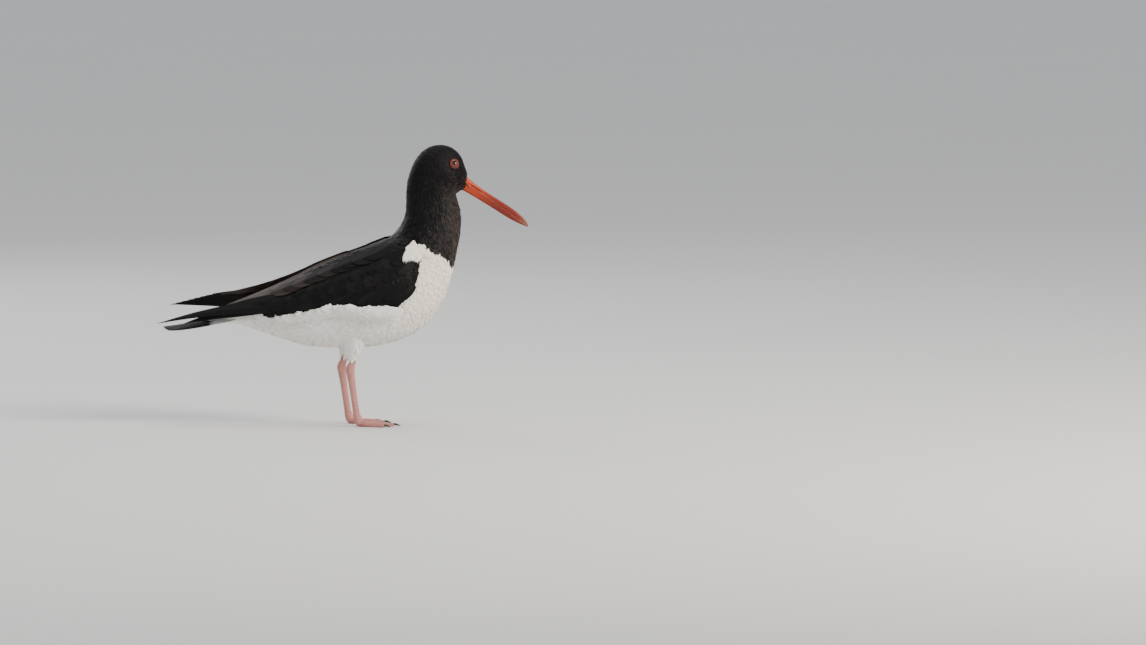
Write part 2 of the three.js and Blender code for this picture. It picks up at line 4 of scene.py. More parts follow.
import bmesh
import bpy
import numpy as np
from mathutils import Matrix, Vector


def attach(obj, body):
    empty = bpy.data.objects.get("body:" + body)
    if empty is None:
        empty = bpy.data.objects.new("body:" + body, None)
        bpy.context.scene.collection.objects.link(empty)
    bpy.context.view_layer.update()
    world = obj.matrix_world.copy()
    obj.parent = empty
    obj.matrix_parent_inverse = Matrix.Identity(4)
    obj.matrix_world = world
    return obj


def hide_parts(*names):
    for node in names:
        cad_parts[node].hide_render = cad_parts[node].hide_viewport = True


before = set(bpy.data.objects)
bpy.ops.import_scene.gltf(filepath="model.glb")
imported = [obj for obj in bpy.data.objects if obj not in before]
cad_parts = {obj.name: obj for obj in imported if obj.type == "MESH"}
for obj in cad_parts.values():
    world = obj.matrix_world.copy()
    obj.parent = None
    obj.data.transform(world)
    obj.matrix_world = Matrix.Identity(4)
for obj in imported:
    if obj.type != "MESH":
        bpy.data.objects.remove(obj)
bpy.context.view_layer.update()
mm = 0.001
draw = np.random.default_rng(7)  # every random choice made here comes from this seed

# The view
# The photograph is 1146 pixels wide, and one pixel is 0.95 mm at the bird. Zero along the bird is at pixel
# column 343, and the floor under its feet at row 425.
photo = {"width": 1146, "height": 645, "mmPerPixel": 0.95, "birdColumn": 343, "floorRow": 425}
view = {"distance": 12.0, "elevation": 4.0, "sensor": 36.0, "farthest": 300}


def makeCamera():
    data = bpy.data.cameras.new("camera")
    data.sensor_width = view["sensor"]
    scale = photo["mmPerPixel"] * mm
    data.lens = view["sensor"] * view["distance"] / (photo["width"] * scale)
    data.clip_end = view["farthest"]
    camera = bpy.data.objects.new("camera", data)
    bpy.context.scene.collection.objects.link(camera)
    tilt = math.radians(view["elevation"])
    target = Vector((
        (photo["width"] / 2 - photo["birdColumn"]) * scale,
        0,
        (photo["floorRow"] - photo["height"] / 2) * scale / math.cos(tilt),
    ))
    back = Vector((0, -math.cos(tilt), math.sin(tilt)))
    camera.location = target + back * view["distance"]
    camera.rotation_euler = (-back).to_track_quat("-Z", "Y").to_euler()
    bpy.context.scene.camera = camera


makeCamera()
print("camera placed")


# Node trees
# Value wraps a socket, so that plain arithmetic adds Math nodes. Graph adds any other node.
class Value:
    def __init__(self, tree, socket):
        self.tree = tree
        self.socket = socket

    def math(self, operation, *others):
        node = self.tree.nodes.new("ShaderNodeMath")
        node.operation = operation
        for number, item in enumerate((self, *others)):
            if isinstance(item, Value):
                self.tree.links.new(item.socket, node.inputs[number])
            else:
                node.inputs[number].default_value = item
        return Value(self.tree, node.outputs[0])

    def __add__(self, other):
        return self.math("ADD", other)

    def __mul__(self, other):
        return self.math("MULTIPLY", other)

    def __sub__(self, other):
        return self.math("SUBTRACT", other)

    def __rsub__(self, other):
        return self.math("MULTIPLY", -1.0).math("ADD", other)

    __radd__ = __add__
    __rmul__ = __mul__

    def sine(self):
        return self.math("SINE")

    def size(self):
        return self.math("ABSOLUTE")


class Graph:
    def __init__(self, tree):
        self.tree = tree

    def node(self, kind, settings=None, inputs=None, output=0):
        made = self.tree.nodes.new(kind)
        for name, value in (settings or {}).items():
            setattr(made, name, value)
        for name, value in (inputs or {}).items():
            if isinstance(value, Value):
                self.tree.links.new(value.socket, made.inputs[name])
            else:
                made.inputs[name].default_value = value
        return Value(self.tree, made.outputs[output])

    def parts(self, vector):
        made = self.node("ShaderNodeSeparateXYZ", None, {0: vector}).socket.node
        return [Value(self.tree, socket) for socket in made.outputs]


class Finish(Graph):
    def __init__(self, name, **fixed):
        self.material = bpy.data.materials.new(name)
        self.material.use_nodes = True
        super().__init__(self.material.node_tree)
        self.shader = self.tree.nodes["Principled BSDF"]
        for socket, value in fixed.items():
            self.shader.inputs[socket.replace("_", " ")].default_value = value

    def attribute(self, name):
        return self.node("ShaderNodeAttribute", {"attribute_name": name}, output="Fac")

    def place(self):
        return self.node("ShaderNodeTexCoord", output="Object")

    def noise(self, scale, detail=3.0):
        inputs = {"Vector": self.place(), "Scale": scale, "Detail": detail}
        return self.node("ShaderNodeTexNoise", None, inputs, "Fac")

    def between(self, value, low, high):
        inputs = {"Value": value, "From Min": low, "From Max": high}
        return self.node("ShaderNodeMapRange", {"interpolation_type": "SMOOTHSTEP"}, inputs, "Result")

    def blend(self, factor, first, second):
        colours = {6: first, 7: second}
        inputs = {0: factor}
        for number, item in colours.items():
            inputs[number] = item if isinstance(item, Value) else (*item, 1)
        return self.node("ShaderNodeMix", {"data_type": "RGBA"}, inputs, 2)

    def feed(self, socket, value):
        self.tree.links.new(value.socket, self.shader.inputs[socket])

    def bump(self, height, strength, distance):
        inputs = {"Height": height, "Strength": strength, "Distance": distance}
        self.feed("Normal", self.node("ShaderNodeBump", None, inputs, "Normal"))


# Plumage: mark is 0 on black feathers and 1 on white ones, tone differs from feather to feather, and wear
# turns black to brown. Wear is mostly real wear, but on the throat it also carries painted sunlight. Towards
# the front the white is warmed to cream: painted warm sunlight on the breast.
plumageLook = {
    "black": (0.0034, 0.0031, 0.0036), "soot": (0.0105, 0.0090, 0.0092), "brown": (0.074, 0.054, 0.044),
    "white": (0.87, 0.85, 0.81), "sunlitCream": (0.88, 0.815, 0.69), "shade": (0.74, 0.70, 0.62),
    "ior": 1.5, "gloss": 0.11, "sheen": 0.015, "sheenRoughness": 0.45,
    "mottleScale": 700.0, "driftScale": 32.0,
    "sootEdges": (0.3, 1.0), "wearEdges": (0.12, 1.0), "shadeEdges": (0.4, 1.0),
    "sunlitCreamEdges": (0.035, 0.095),  # metres forward, where the white is warmed to cream: painted warm sunlight on the front of the breast
    "wearByTone": 0.22, "wearByMottle": 0.2,
    "roughness": 0.5, "whiteRougher": 0.22, "mottledRoughness": 0.22,
    "barbSlant": 1.1, "barbFade": 0.7, "bump": 0.3, "bumpDepth": 0.00015,
}


def plumageFinish(name, barbHeight, barbs):
    look = plumageLook
    made = Finish(
        name, IOR=look["ior"], Specular_IOR_Level=look["gloss"], Sheen_Weight=look["sheen"],
        Sheen_Roughness=look["sheenRoughness"])
    mark, tone, wear = (made.attribute(item) for item in ("mark", "tone", "wear"))
    mottle, drift = made.noise(look["mottleScale"], 2.0), made.noise(look["driftScale"], 2.0)
    sooty = made.between(tone * 0.5 + mottle * 0.5, *look["sootEdges"])
    soot = made.blend(sooty, look["black"], look["soot"])
    worn = wear + (tone - 0.5) * look["wearByTone"] + (mottle - 0.5) * look["wearByMottle"]
    dark = made.blend(made.between(worn, *look["wearEdges"]), soot, look["brown"])
    forward, _, _ = made.parts(made.place())
    # Towards the front the white is warmed to cream: painted warm sunlight on the front of the breast
    light = made.blend(made.between(forward, *look["sunlitCreamEdges"]), look["white"], look["sunlitCream"])
    shaded = made.between(drift * 0.7 + tone * 0.25 + mottle * 0.15, *look["shadeEdges"])
    made.feed("Base Color", made.blend(mark, dark, made.blend(shaded, light, look["shade"])))
    uneven = (mottle - 0.5) * look["mottledRoughness"]
    made.feed("Roughness", mark * look["whiteRougher"] + look["roughness"] + uneven)
    along, across, _ = made.parts(made.node("ShaderNodeUVMap", {"uv_map": "vane"}))
    combed = ((along * 2.0 - (across - 0.5).size() * look["barbSlant"]) * barbs).sine()
    height = (combed * barbHeight + mottle) * (1 - mark * look["barbFade"])
    made.bump(height, look["bump"], look["bumpDepth"])
    return made.material


bodyPlumage = plumageFinish("body_plumage", barbHeight=0.15, barbs=60.0)
quillPlumage = plumageFinish("quill_plumage", barbHeight=0.25, barbs=330.0)
print("plumage finishes made")


# Meshes from rows of points, in mm
def closedGrid(rows, columns):
    row = np.arange(rows - 1)[:, None] * columns
    column = np.arange(columns)[None, :]
    following = (column + 1) % columns
    faces = np.stack([row + column, row + following, row + columns + following, row + columns + column], -1)
    return faces.reshape(-1, 4).tolist()


def openGrid(rows, columns):
    row = np.arange(rows - 1)[:, None] * columns
    column = np.arange(columns - 1)[None, :]
    faces = np.stack([row + column, row + column + 1, row + columns + column + 1, row + columns + column], -1)
    return faces.reshape(-1, 4).tolist()


# Gathers closed and open surfaces into one mesh, with a value for each point under each attribute's name
class Shape:
    def __init__(self):
        self.points = []
        self.faces = []
        self.values = {}
        self.count = 0

    def add(self, points, faces, **values):
        points = np.asarray(points, float).reshape(-1, 3)
        self.points.append(points)
        self.faces += [[self.count + corner for corner in face] for face in faces]
        for name, value in values.items():
            width = np.shape(value)[-1:] if np.ndim(value) > 1 else ()
            value = np.broadcast_to(value, (len(points), *width))
            self.values.setdefault(name, []).append((self.count, value))
        self.count += len(points)

    def loft(self, rings, **values):
        rings = np.asarray(rings, float)
        rows, columns = rings.shape[:2]
        points = np.concatenate([rings.reshape(-1, 3), rings[:1].mean(1), rings[-1:].mean(1)])
        faces = closedGrid(rows, columns)
        first, last = rows * columns, rows * columns + 1
        base = (rows - 1) * columns
        for k in range(columns):
            following = (k + 1) % columns
            faces.append([first, following, k])
            faces.append([last, base + k, base + following])
        filled = {}
        for name, value in values.items():
            value = np.asarray(value, float)
            if value.shape[:2] == (rows, columns):
                flat = value.reshape(rows * columns, *value.shape[2:])
                value = np.concatenate([flat, value[0, :1], value[-1, :1]])
            filled[name] = value
        self.add(points, faces, **filled)

    def piece(self, name, material, sharp=180.0, outward=True):
        mesh = bpy.data.meshes.new(name)
        points = np.concatenate(self.points) * mm
        mesh.from_pydata(points.tolist(), [], self.faces)
        for title, chunks in self.values.items():
            sample = chunks[0][1]
            whole = np.zeros((self.count, *sample.shape[1:]))
            for start, value in chunks:
                whole[start:start + len(value)] = value
            if title in ("OFBake", "vane"):
                layer = mesh.uv_layers.new(name=title)
                corners = np.zeros(len(mesh.loops), int)
                mesh.loops.foreach_get("vertex_index", corners)
                layer.data.foreach_set("uv", whole[corners].ravel())
            elif whole.ndim > 1:
                mesh.attributes.new(title, "FLOAT_VECTOR", "POINT").data.foreach_set("vector", whole.ravel())
            else:
                mesh.attributes.new(title, "FLOAT", "POINT").data.foreach_set("value", whole.ravel())
        if outward:
            work = bmesh.new()
            work.from_mesh(mesh)
            bmesh.ops.recalc_face_normals(work, faces=work.faces)
            work.to_mesh(mesh)
            work.free()
        mesh.shade_smooth()
        if sharp < 180:
            mesh.set_sharp_from_angle(angle=math.radians(sharp))
        if material:
            mesh.materials.append(material)
        made = bpy.data.objects.new(name, mesh)
        bpy.context.scene.collection.objects.link(made)
        return made


def mixed(first, last, share):
    return first + (last - first) * share


def unit(vectors):
    return vectors / np.maximum(np.linalg.norm(vectors, axis=-1, keepdims=True), 1e-9)


# A smooth curve through the given rows, read past each start by the share t of a step
def curveThrough(given, start, t):
    a, b, c, d = (given[np.clip(start + k, 0, len(given) - 1)] for k in (-1, 0, 1, 2))
    return 0.5 * (2 * b + (c - a) * t + (2 * a - 5 * b + 4 * c - d) * t**2 + (3 * b - a - 3 * c + d) * t**3)


# Points spread evenly along a smooth line through a few given ones. Columns past the third ride along.
def smoothLine(points, count):
    given = np.asarray(points, float)
    last = len(given) - 1
    place = np.linspace(0, last, count)
    start = np.minimum(place.astype(int), last - 1)
    return curveThrough(given, start, (place - start)[:, None])


# A smooth line through the values, read at x
def smoothAt(x, places, values):
    fine = smoothLine(np.stack([places, values], -1), 400)
    return np.interp(x, fine[:, 0], fine[:, 1])


# The trunk's surface, in mm. Each cut runs from the back line to the belly line, and the cuts follow each
# other from the undertail to the bill.
trunkCuts = [
    # back x and z, belly x and z, half the width, and how high the widest line lies
    ("undertail tip", -120, 105.5, -120, 98.6, 8, 0.5),
    ("undertail", -103, 110, -101, 97.2, 14, 0.5),
    ("vent", -83, 118.5, -82, 90.6, 22, 0.5),
    ("rump", -61, 128, -60, 83.6, 31, 0.5),
    ("loins", -41, 138, -39, 77, 38, 0.5),
    ("belly", -20, 149, -14.5, 74.4, 43, 0.5),
    ("middle back", 2, 159, 8.5, 74, 46, 0.5),
    ("mantle", 23, 167.5, 33, 76, 47, 0.5),
    ("shoulders", 40.5, 175.5, 58, 83, 46, 0.5),
    ("neck foot", 50.5, 184, 77, 94.6, 42.5, 0.48),
    ("breast", 56, 192, 93, 114.4, 37, 0.46),
    ("upper breast", 59.2, 200.5, 102, 136.8, 31.5, 0.46),
    ("lower neck", 60.2, 210, 107.8, 162.4, 26, 0.47),
    ("middle neck", 60, 220.4, 112, 186.2, 22.4, 0.48),
    ("upper neck", 60.8, 230, 112.2, 200.4, 20.6, 0.5),
    ("nape", 63.2, 239.4, 108.8, 212, 19.8, 0.52),
    ("throat", 67, 249, 105.9, 218.9, 19.6, 0.52),
    ("hind crown", 73.2, 258.4, 107.6, 221.4, 19.4, 0.5),
    ("crown", 82.6, 264.8, 110.6, 222.9, 18.6, 0.48),
    ("fore crown", 93.1, 266.7, 112.6, 223.4, 16.8, 0.46),
    ("brow", 103.5, 264, 113.8, 223.6, 14.6, 0.44),
    ("forehead", 111.6, 256.6, 114.8, 223.7, 11.6, 0.42),
    ("lores", 115.9, 246.1, 115.6, 223.9, 8.2, 0.42),
    ("bill edge", 118.6, 238, 116.4, 224.3, 5.4, 0.45),
]
cutTable = np.array([cut[1:] for cut in trunkCuts])
lastCut = len(trunkCuts) - 1
trunkRoundness = 0.92
trunkSteps = {"cut": 0.02, "turn": 1.0, "stretch": 0.05}  # how far apart the surface is read for its slopes


# A point of the trunk. along counts the cuts; turn runs from -90 at the belly over the right side to 90.
def onTrunk(along, turn):
    along, turn = np.broadcast_arrays(np.asarray(along, float), np.asarray(turn, float))
    start = np.clip(np.floor(along).astype(int), 0, lastCut - 1)
    cut = curveThrough(cutTable, start, (along - start)[..., None])
    backX, backZ, bellyX, bellyZ, half, level = np.moveaxis(cut, -1, 0)
    cosine, sine = np.cos(np.radians(turn)), np.sin(np.radians(turn))
    reach = np.sign(sine) * np.abs(sine) ** trunkRoundness
    height = np.where(reach > 0, level + (1 - level) * reach, level * (1 + reach))
    side = -half * np.sign(cosine) * np.abs(cosine) ** trunkRoundness
    return np.stack([bellyX + (backX - bellyX) * height, side, bellyZ + (backZ - bellyZ) * height], -1)


def trunkNormal(along, turn):
    ahead = onTrunk(along + trunkSteps["cut"], turn) - onTrunk(along - trunkSteps["cut"], turn)
    up = onTrunk(along, turn + trunkSteps["turn"]) - onTrunk(along, turn - trunkSteps["turn"])
    return unit(np.cross(ahead, up))


# How many mm one cut takes at this place
def trunkStretch(along, turn):
    step = trunkSteps["stretch"]
    return np.linalg.norm(onTrunk(along + step, turn) - onTrunk(along - step, turn), axis=-1) / (2 * step)


def offTrunk(along, turn, lift):
    along, turn, lift = (np.asarray(item, float) for item in (along, turn, lift))
    return onTrunk(along, turn) + trunkNormal(along, turn) * lift[..., None]


def sided(turn, side):
    return turn if side > 0 else 180 - turn


# Where black meets white, as seen from the side: height against x, down to the front of the breast
border = {
    "x": [-15, 30, 54, 58, 62.7, 65.6, 73.2, 76, 81.7, 89.3, 98.8, 101.7, 104.2, 112],
    "z": [140, 148, 155, 163.6, 165.5, 169.3, 169.3, 171.9, 165.1, 162, 153.8, 150.4, 147.3, 144],
    "rumpX": -18,
}


# How many mm a point lies inside the white, or below zero in the black
def whiteness(points):
    x, z = points[..., 0], points[..., 2]
    return np.maximum(np.interp(x, border["x"], border["z"]) - z, border["rumpX"] - x)


# The coat's measures along the trunk, in mm, each against the number of the cut
coat = {
    "cut": [0, 3, 7, 10, 12, 14, 16, 18, 20, 22, 23],
    "length": [17, 15, 14, 13, 11, 8.5, 6.5, 5.0, 3.6, 2.6, 2.0],
    "width": [7.5, 7.5, 7, 6.5, 5.6, 4.4, 3.4, 2.6, 2.0, 1.5, 1.2],
    "depth": [1.0, 1.5, 1.9, 1.9, 1.8, 1.6, 1.3, 1.0, 0.7, 0.45, 0.3],
}


def coatMeasure(name, along):
    return np.interp(along, coat["cut"], coat[name])


# The eyes, as in the solids
eye = {
    "along": 19.85, "turn": 18, "radius": 5.6, "opening": 4.5, "rimSunk": 0.4, "ballSunk": 0.3,
    "ring": 4.3, "ringRaised": 0.3, "lid": 0.42, "bare": 0.55, "wrinkles": 22, "wrinkle": 0.08,
    "pupilTurn": 0.10,
}


def eyeFrame(side):
    along, turn = np.array(eye["along"]), np.array(sided(eye["turn"], side))
    out, skin = trunkNormal(along, turn), onTrunk(along, turn)
    back = math.sqrt(eye["radius"] ** 2 - eye["opening"] ** 2)
    return out, skin - out * eye["rimSunk"], skin - out * (eye["ballSunk"] + back)


# Legs, as in the solids
leg = {
    "ankle": (3, 53), "foot": (10, 6.2), "halfSpread": 19, "ahead": {"right": 4, "left": -5},
    "thighTop": (11, 92), "thighAhead": 0.4, "thighOut": 1.12,
    "toes": {"inner": (27, -33), "middle": (35, -2), "outer": (30, 29)},
    "shank": [
        # from where, forward, out, up, and the radii sideways and forward
        ("ankle", 5.5, 1.04, 17, 3, 3),
        ("ankle", 2.4, 1, 8, 3, 3),
        ("ankle", 0.3, 1, 1.5, 3.9, 4.3),
        ("ankle", 0.8, 1, -5, 3.3, 3.7),
        ("between", 0, 1, 0, 2.6, 3.2),
        ("foot", -1, 1, 6, 2.9, 3.2),
        ("foot", 0, 1, 2.2, 3.6, 4.0),
        ("foot", 1.5, 1, -2.6, 4.2, 4.1),
    ],
    "between": 0.4,
    "toe": [(0, 3.4, 3.0), (0.45, 2.0, 2.7), (0.9, 1.5, 1.9), (0.985, 1.4, 1.1)],  # share, height, radius
    "toeJoints": 3.2, "toeJoint": 0.09, "toeFlat": 0.92,
    "web": {"from": 0.06, "to": 0.36, "height": 1.1, "thick": (0.9, 0.5)},
    "voxel": 0.42, "smoothing": 2,
}
sides = {"right": 1, "left": -1}
thigh = {"share": [0, 0.28, 0.56, 0.68], "radius": [12, 10.3, 6.6, 4.6], "depth": 1.6}


# The thigh's centre line, from the belly towards the ankle
def thighAt(name, share):
    ahead, y = leg["ahead"][name], -sides[name] * leg["halfSpread"]
    top = np.array([leg["thighTop"][0] + ahead * leg["thighAhead"], y * leg["thighOut"], leg["thighTop"][1]])
    joint = np.array([leg["ankle"][0] + ahead, y, leg["ankle"][1]])
    return top + (joint - top) * np.asarray(share)[..., None]


# Round rings square to a line of points. radii are sideways and upwards.
def ringsRound(line, radii, count):
    line = np.asarray(line, float)
    heading = unit(np.gradient(line, axis=0))
    steep = np.abs(heading[:, 2:]) > 0.8
    side = unit(np.cross(np.where(steep, [[1.0, 0, 0]], [[0, 0, 1.0]]), heading))
    rise = np.cross(heading, side)
    turn = np.linspace(0, 2 * np.pi, count, endpoint=False)[:, None]
    across, up = (np.broadcast_to(item, len(line))[:, None, None] for item in radii)
    return line[:, None] + side[:, None] * across * np.cos(turn) + rise[:, None] * up * np.sin(turn)


# The piece's modifiers are applied, and what they make is its own plain mesh
def settleMesh(piece):
    graph = bpy.context.evaluated_depsgraph_get()
    mesh = bpy.data.meshes.new_from_object(piece.evaluated_get(graph))
    piece.modifiers.clear()
    old, piece.data = piece.data, mesh
    bpy.data.meshes.remove(old)
    return mesh


# One closed skin round everything in the piece
def remeshed(piece, voxel, smoothing):
    remesh = piece.modifiers.new("remesh", "REMESH")
    remesh.mode = "VOXEL"
    remesh.voxel_size = voxel * mm
    smooth = piece.modifiers.new("smooth", "SMOOTH")
    smooth.iterations = smoothing
    settleMesh(piece).shade_smooth()
    return piece


def pointsOf(piece):
    flat = np.zeros(len(piece.data.vertices) * 3)
    piece.data.vertices.foreach_get("co", flat)
    return flat.reshape(-1, 3) / mm


def setPoints(piece, points):
    piece.data.vertices.foreach_set("co", (points * mm).ravel())
    piece.data.update()


def setValue(piece, name, values):
    layer = piece.data.attributes.new(name, "FLOAT", "POINT")
    layer.data.foreach_set("value", np.broadcast_to(values, len(piece.data.vertices)).astype(float))


# The skin is one closed surface under the coat
skinCut = {
    "along": (0.05, lastCut - 0.02, 150), "around": 72, "thighShare": (-0.05, 0.66, 24), "thighAround": 32,
    "voxel": 1.3, "smoothing": 3, "whiteShift": (-4, 0, -2), "tone": 0.5, "wear": 0.15,
}


def makeSkin():
    shape = Shape()
    turns = np.linspace(-90, 270, skinCut["around"], endpoint=False)
    along, turn = np.meshgrid(np.linspace(*skinCut["along"]), turns, indexing="ij")
    shape.loft(offTrunk(along, turn, -coatMeasure("depth", along)))
    for name in sides:
        share = np.linspace(*skinCut["thighShare"])
        radius = np.interp(share, thigh["share"], thigh["radius"]) - thigh["depth"]
        shape.loft(ringsRound(thighAt(name, share), (radius, radius), skinCut["thighAround"]))
    skin = remeshed(shape.piece("skin", None), skinCut["voxel"], skinCut["smoothing"])
    inside = whiteness(pointsOf(skin) + skinCut["whiteShift"])
    setValue(skin, "mark", np.clip(inside / 2 + 0.5, 0, 1))
    setValue(skin, "tone", skinCut["tone"])
    setValue(skin, "wear", skinCut["wear"])
    skin.data.materials.append(bodyPlumage)
    return skin


skin = makeSkin()
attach(skin, "root")
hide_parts("head", "neck", "torso", "thigh_right", "thigh_left")
print("skin made")


# One feather, a unit long along x and a unit wide along y, with a keel below. Its tip is parted into barbs.
featherCuts = {
    "soft": {"columns": 9, "rows": 4, "ragged": 0.3, "cup": 0.09, "bend": 0.03, "waist": 0.45},
    "firm": {"columns": 7, "rows": 4, "ragged": 0.09, "cup": 0.14, "bend": 0.05, "waist": 0.6},
    "fine": {"columns": 5, "rows": 3, "ragged": 0.34, "cup": 0.14, "bend": 0.04, "waist": 0.5},
}
featherShape = {
    "kinds": 3, "corner": 0.62, "roundness": 0.96, "parting": 0.5, "jitter": (-0.45, 0.3),
    "inner": 0.55, "innerByTip": 0.45, "innerMost": 0.9, "widening": 1.25, "swell": 0.8, "tipWidth": 0.82,
    "keelReach": 0.95, "keelDrop": 0.05, "sharp": 55,
}


def makeFeather(name, kind):
    cut, common = featherCuts[name], featherShape
    columns, rows = cut["columns"], cut["rows"]
    across = np.linspace(-1, 1, columns)
    along = np.linspace(0, 1, rows + 1)[1:]
    ends = common["corner"] + (1 - common["corner"]) * np.sqrt(1 - common["roundness"] * across**2)
    barbs = np.where(np.arange(columns) % 2 == 0, 0.0, -1.0) + draw.uniform(*common["jitter"], columns)
    ends = ends + cut["ragged"] * barbs * common["parting"]
    points, uv = [[0, 0, 0]], [[0, 0.5]]
    for place in along:
        swell = math.sin(math.pi * min(place * common["widening"], 1) / 2) ** common["swell"]
        width = 0.5 * (cut["waist"] + (1 - cut["waist"]) * swell)
        last = place == along[-1]
        for k, s in enumerate(across):
            inner = min(common["innerMost"], common["inner"] + common["innerByTip"] * ends[k])
            forward = place * (ends[k] if last else inner)
            height = -cut["cup"] * s * s * width + cut["bend"] * math.sin(math.pi * place)
            points.append([forward, s * width * (common["tipWidth"] if last else 1.0), height])
            uv.append([forward, 0.5 + s * 0.5])
    keel = len(points)
    for place in along[:-1]:
        points.append([place * common["keelReach"], 0, -common["keelDrop"]])
        uv.append([place, 0.5])
    at = lambda row, column: 1 + row * columns + column
    faces = [[0, at(0, k + 1), at(0, k)][::-1] for k in range(columns - 1)]
    for row in range(rows - 1):
        for k in range(columns - 1):
            faces.append([at(row, k), at(row + 1, k), at(row + 1, k + 1), at(row, k + 1)])
    faces += [[0, at(0, 0), keel], [0, keel, at(0, columns - 1)]]
    for row in range(rows - 2):
        for edge in (0, columns - 1):
            faces.append([at(row, edge), at(row + 1, edge), keel + row + 1, keel + row])
    for k in range(columns - 1):
        faces.append([keel + rows - 2, at(rows - 1, k), at(rows - 1, k + 1)])
    for edge in (0, columns - 1):
        faces.append([keel + rows - 2, at(rows - 2, edge), at(rows - 1, edge)])
    shape = Shape()
    shape.add(np.array(points) / mm, faces, vane=np.array(uv))
    return shape.piece(f"feather_{name}_{kind}", None, sharp=common["sharp"])


def featherFamily(name):
    family = bpy.data.collections.new(f"feathers_{name}")
    for kind in range(featherShape["kinds"]):
        made = makeFeather(name, kind)
        bpy.context.scene.collection.objects.unlink(made)
        family.objects.link(made)
    return family


families = {name: featherFamily(name) for name in featherCuts}


# The coat's tree: it scatters feathers over a patch of skin and lays each along the patch's own lie
growth = {
    "edgeWander": 0.8, "pitch": (-0.35, 0.25), "lengths": (0.86, 1.1), "widths": (0.85, 1.15), "height": 0.75,
    "crowding": 2.2, "unrest": 4.5, "bakePatch": 0.003,
}


def makeCoatTree():
    tree = bpy.data.node_groups.new("coat", "GeometryNodeTree")
    graph = Graph(tree)
    tree.interface.new_socket("Geometry", in_out="INPUT", socket_type="NodeSocketGeometry")
    tree.interface.new_socket("Geometry", in_out="OUTPUT", socket_type="NodeSocketGeometry")
    for title, kind in (
        ("Feathers", "NodeSocketCollection"), ("Finish", "NodeSocketMaterial"),
        ("Spacing", "NodeSocketFloat"), ("Density", "NodeSocketFloat"), ("Unrest", "NodeSocketFloat"),
        ("Seed", "NodeSocketInt"), ("Patch", "NodeSocketFloat"),
    ):
        tree.interface.new_socket(title, in_out="INPUT", socket_type=kind)
    entry = tree.nodes.new("NodeGroupInput")
    given = {socket.name: Value(tree, socket) for socket in entry.outputs if socket.name}

    def read(name, kind="FLOAT"):
        return graph.node("GeometryNodeInputNamedAttribute", {"data_type": kind}, {"Name": name})

    def chance(low, high, step):
        inputs = {2: low, 3: high, "Seed": given["Seed"] + step}
        return graph.node("FunctionNodeRandomValue", {"data_type": "FLOAT"}, inputs, 1)

    def store(geometry, name, value, kind="FLOAT", domain="POINT"):
        inputs = {"Geometry": geometry, "Name": name, "Value": value}
        return graph.node("GeometryNodeStoreNamedAttribute", {"data_type": kind, "domain": domain}, inputs)

    points = graph.node("GeometryNodeDistributePointsOnFaces", {"distribute_method": "POISSON"}, {
        "Mesh": given["Geometry"], "Distance Min": given["Spacing"], "Density Max": given["Density"],
        "Density Factor": read("cover"), "Seed": given["Seed"]})
    points = store(points, "tone", chance(0.0, 1.0, 1))
    side = read("inside") + chance(-growth["edgeWander"], growth["edgeWander"], 2)
    white = graph.node("FunctionNodeCompare", {"data_type": "FLOAT", "operation": "GREATER_THAN"}, {
        0: side, 1: 0.0})
    points = store(points, "mark", white)
    turning = graph.node("FunctionNodeAxesToRotation", {"primary_axis": "X", "secondary_axis": "Z"}, {
        "Primary Axis": read("lean", "FLOAT_VECTOR"), "Secondary Axis": read("outward", "FLOAT_VECTOR")})
    unrest = given["Unrest"]
    angles = graph.node("ShaderNodeCombineXYZ", None, {
        "X": chance(-1.0, 1.0, 3) * unrest, "Y": chance(*growth["pitch"], 4) * unrest,
        "Z": chance(-1.0, 1.0, 5) * unrest})
    swing = graph.node("FunctionNodeEulerToRotation", None, {"Euler": angles})
    turning = graph.node("FunctionNodeRotateRotation", {"rotation_space": "LOCAL"}, {
        "Rotation": turning, "Rotate By": swing})
    length = read("long") * chance(*growth["lengths"], 6)
    scale = graph.node("ShaderNodeCombineXYZ", None, {
        "X": length, "Y": read("wide") * chance(*growth["widths"], 7), "Z": length * growth["height"]})
    kinds = graph.node("GeometryNodeCollectionInfo", None, {
        "Collection": given["Feathers"], "Separate Children": True, "Reset Children": True})
    pick = graph.node("FunctionNodeRandomValue", {"data_type": "INT"}, {
        4: 0, 5: featherShape["kinds"] - 1, "Seed": given["Seed"]}, 2)
    placed = graph.node("GeometryNodeInstanceOnPoints", None, {
        "Points": points, "Instance": kinds, "Pick Instance": True, "Instance Index": pick,
        "Rotation": turning, "Scale": scale})
    real = graph.node("GeometryNodeRealizeInstances", None, {"Geometry": placed})
    spread = graph.node("ShaderNodeVectorMath", {"operation": "SCALE"}, {
        "Vector": read("vane", "FLOAT_VECTOR"), "Scale": given["Patch"]})
    unwrapped = graph.node("ShaderNodeVectorMath", {"operation": "ADD"}, {
        0: read("spot", "FLOAT_VECTOR"), 1: spread})
    real = store(real, "OFBake", unwrapped, "FLOAT2", "CORNER")
    dressed = graph.node("GeometryNodeSetMaterial", None, {"Geometry": real, "Material": given["Finish"]})
    leave = tree.nodes.new("NodeGroupOutput")
    tree.links.new(dressed.socket, leave.inputs[0])
    return tree


coatTree = makeCoatTree()


# The patch grows its coat. The values that only its tree reads are removed.
def grown(patch, inputs):
    modifier = patch.modifiers.new("growth", "NODES")
    modifier.node_group = coatTree
    for title, value in inputs.items():
        modifier[coatTree.interface.items_tree[title].identifier] = value
    mesh = settleMesh(patch)
    for title in ("cover", "inside", "lean", "outward", "long", "wide", "spot"):
        if title in mesh.attributes:
            mesh.attributes.remove(mesh.attributes[title])
    mesh.name = patch.name


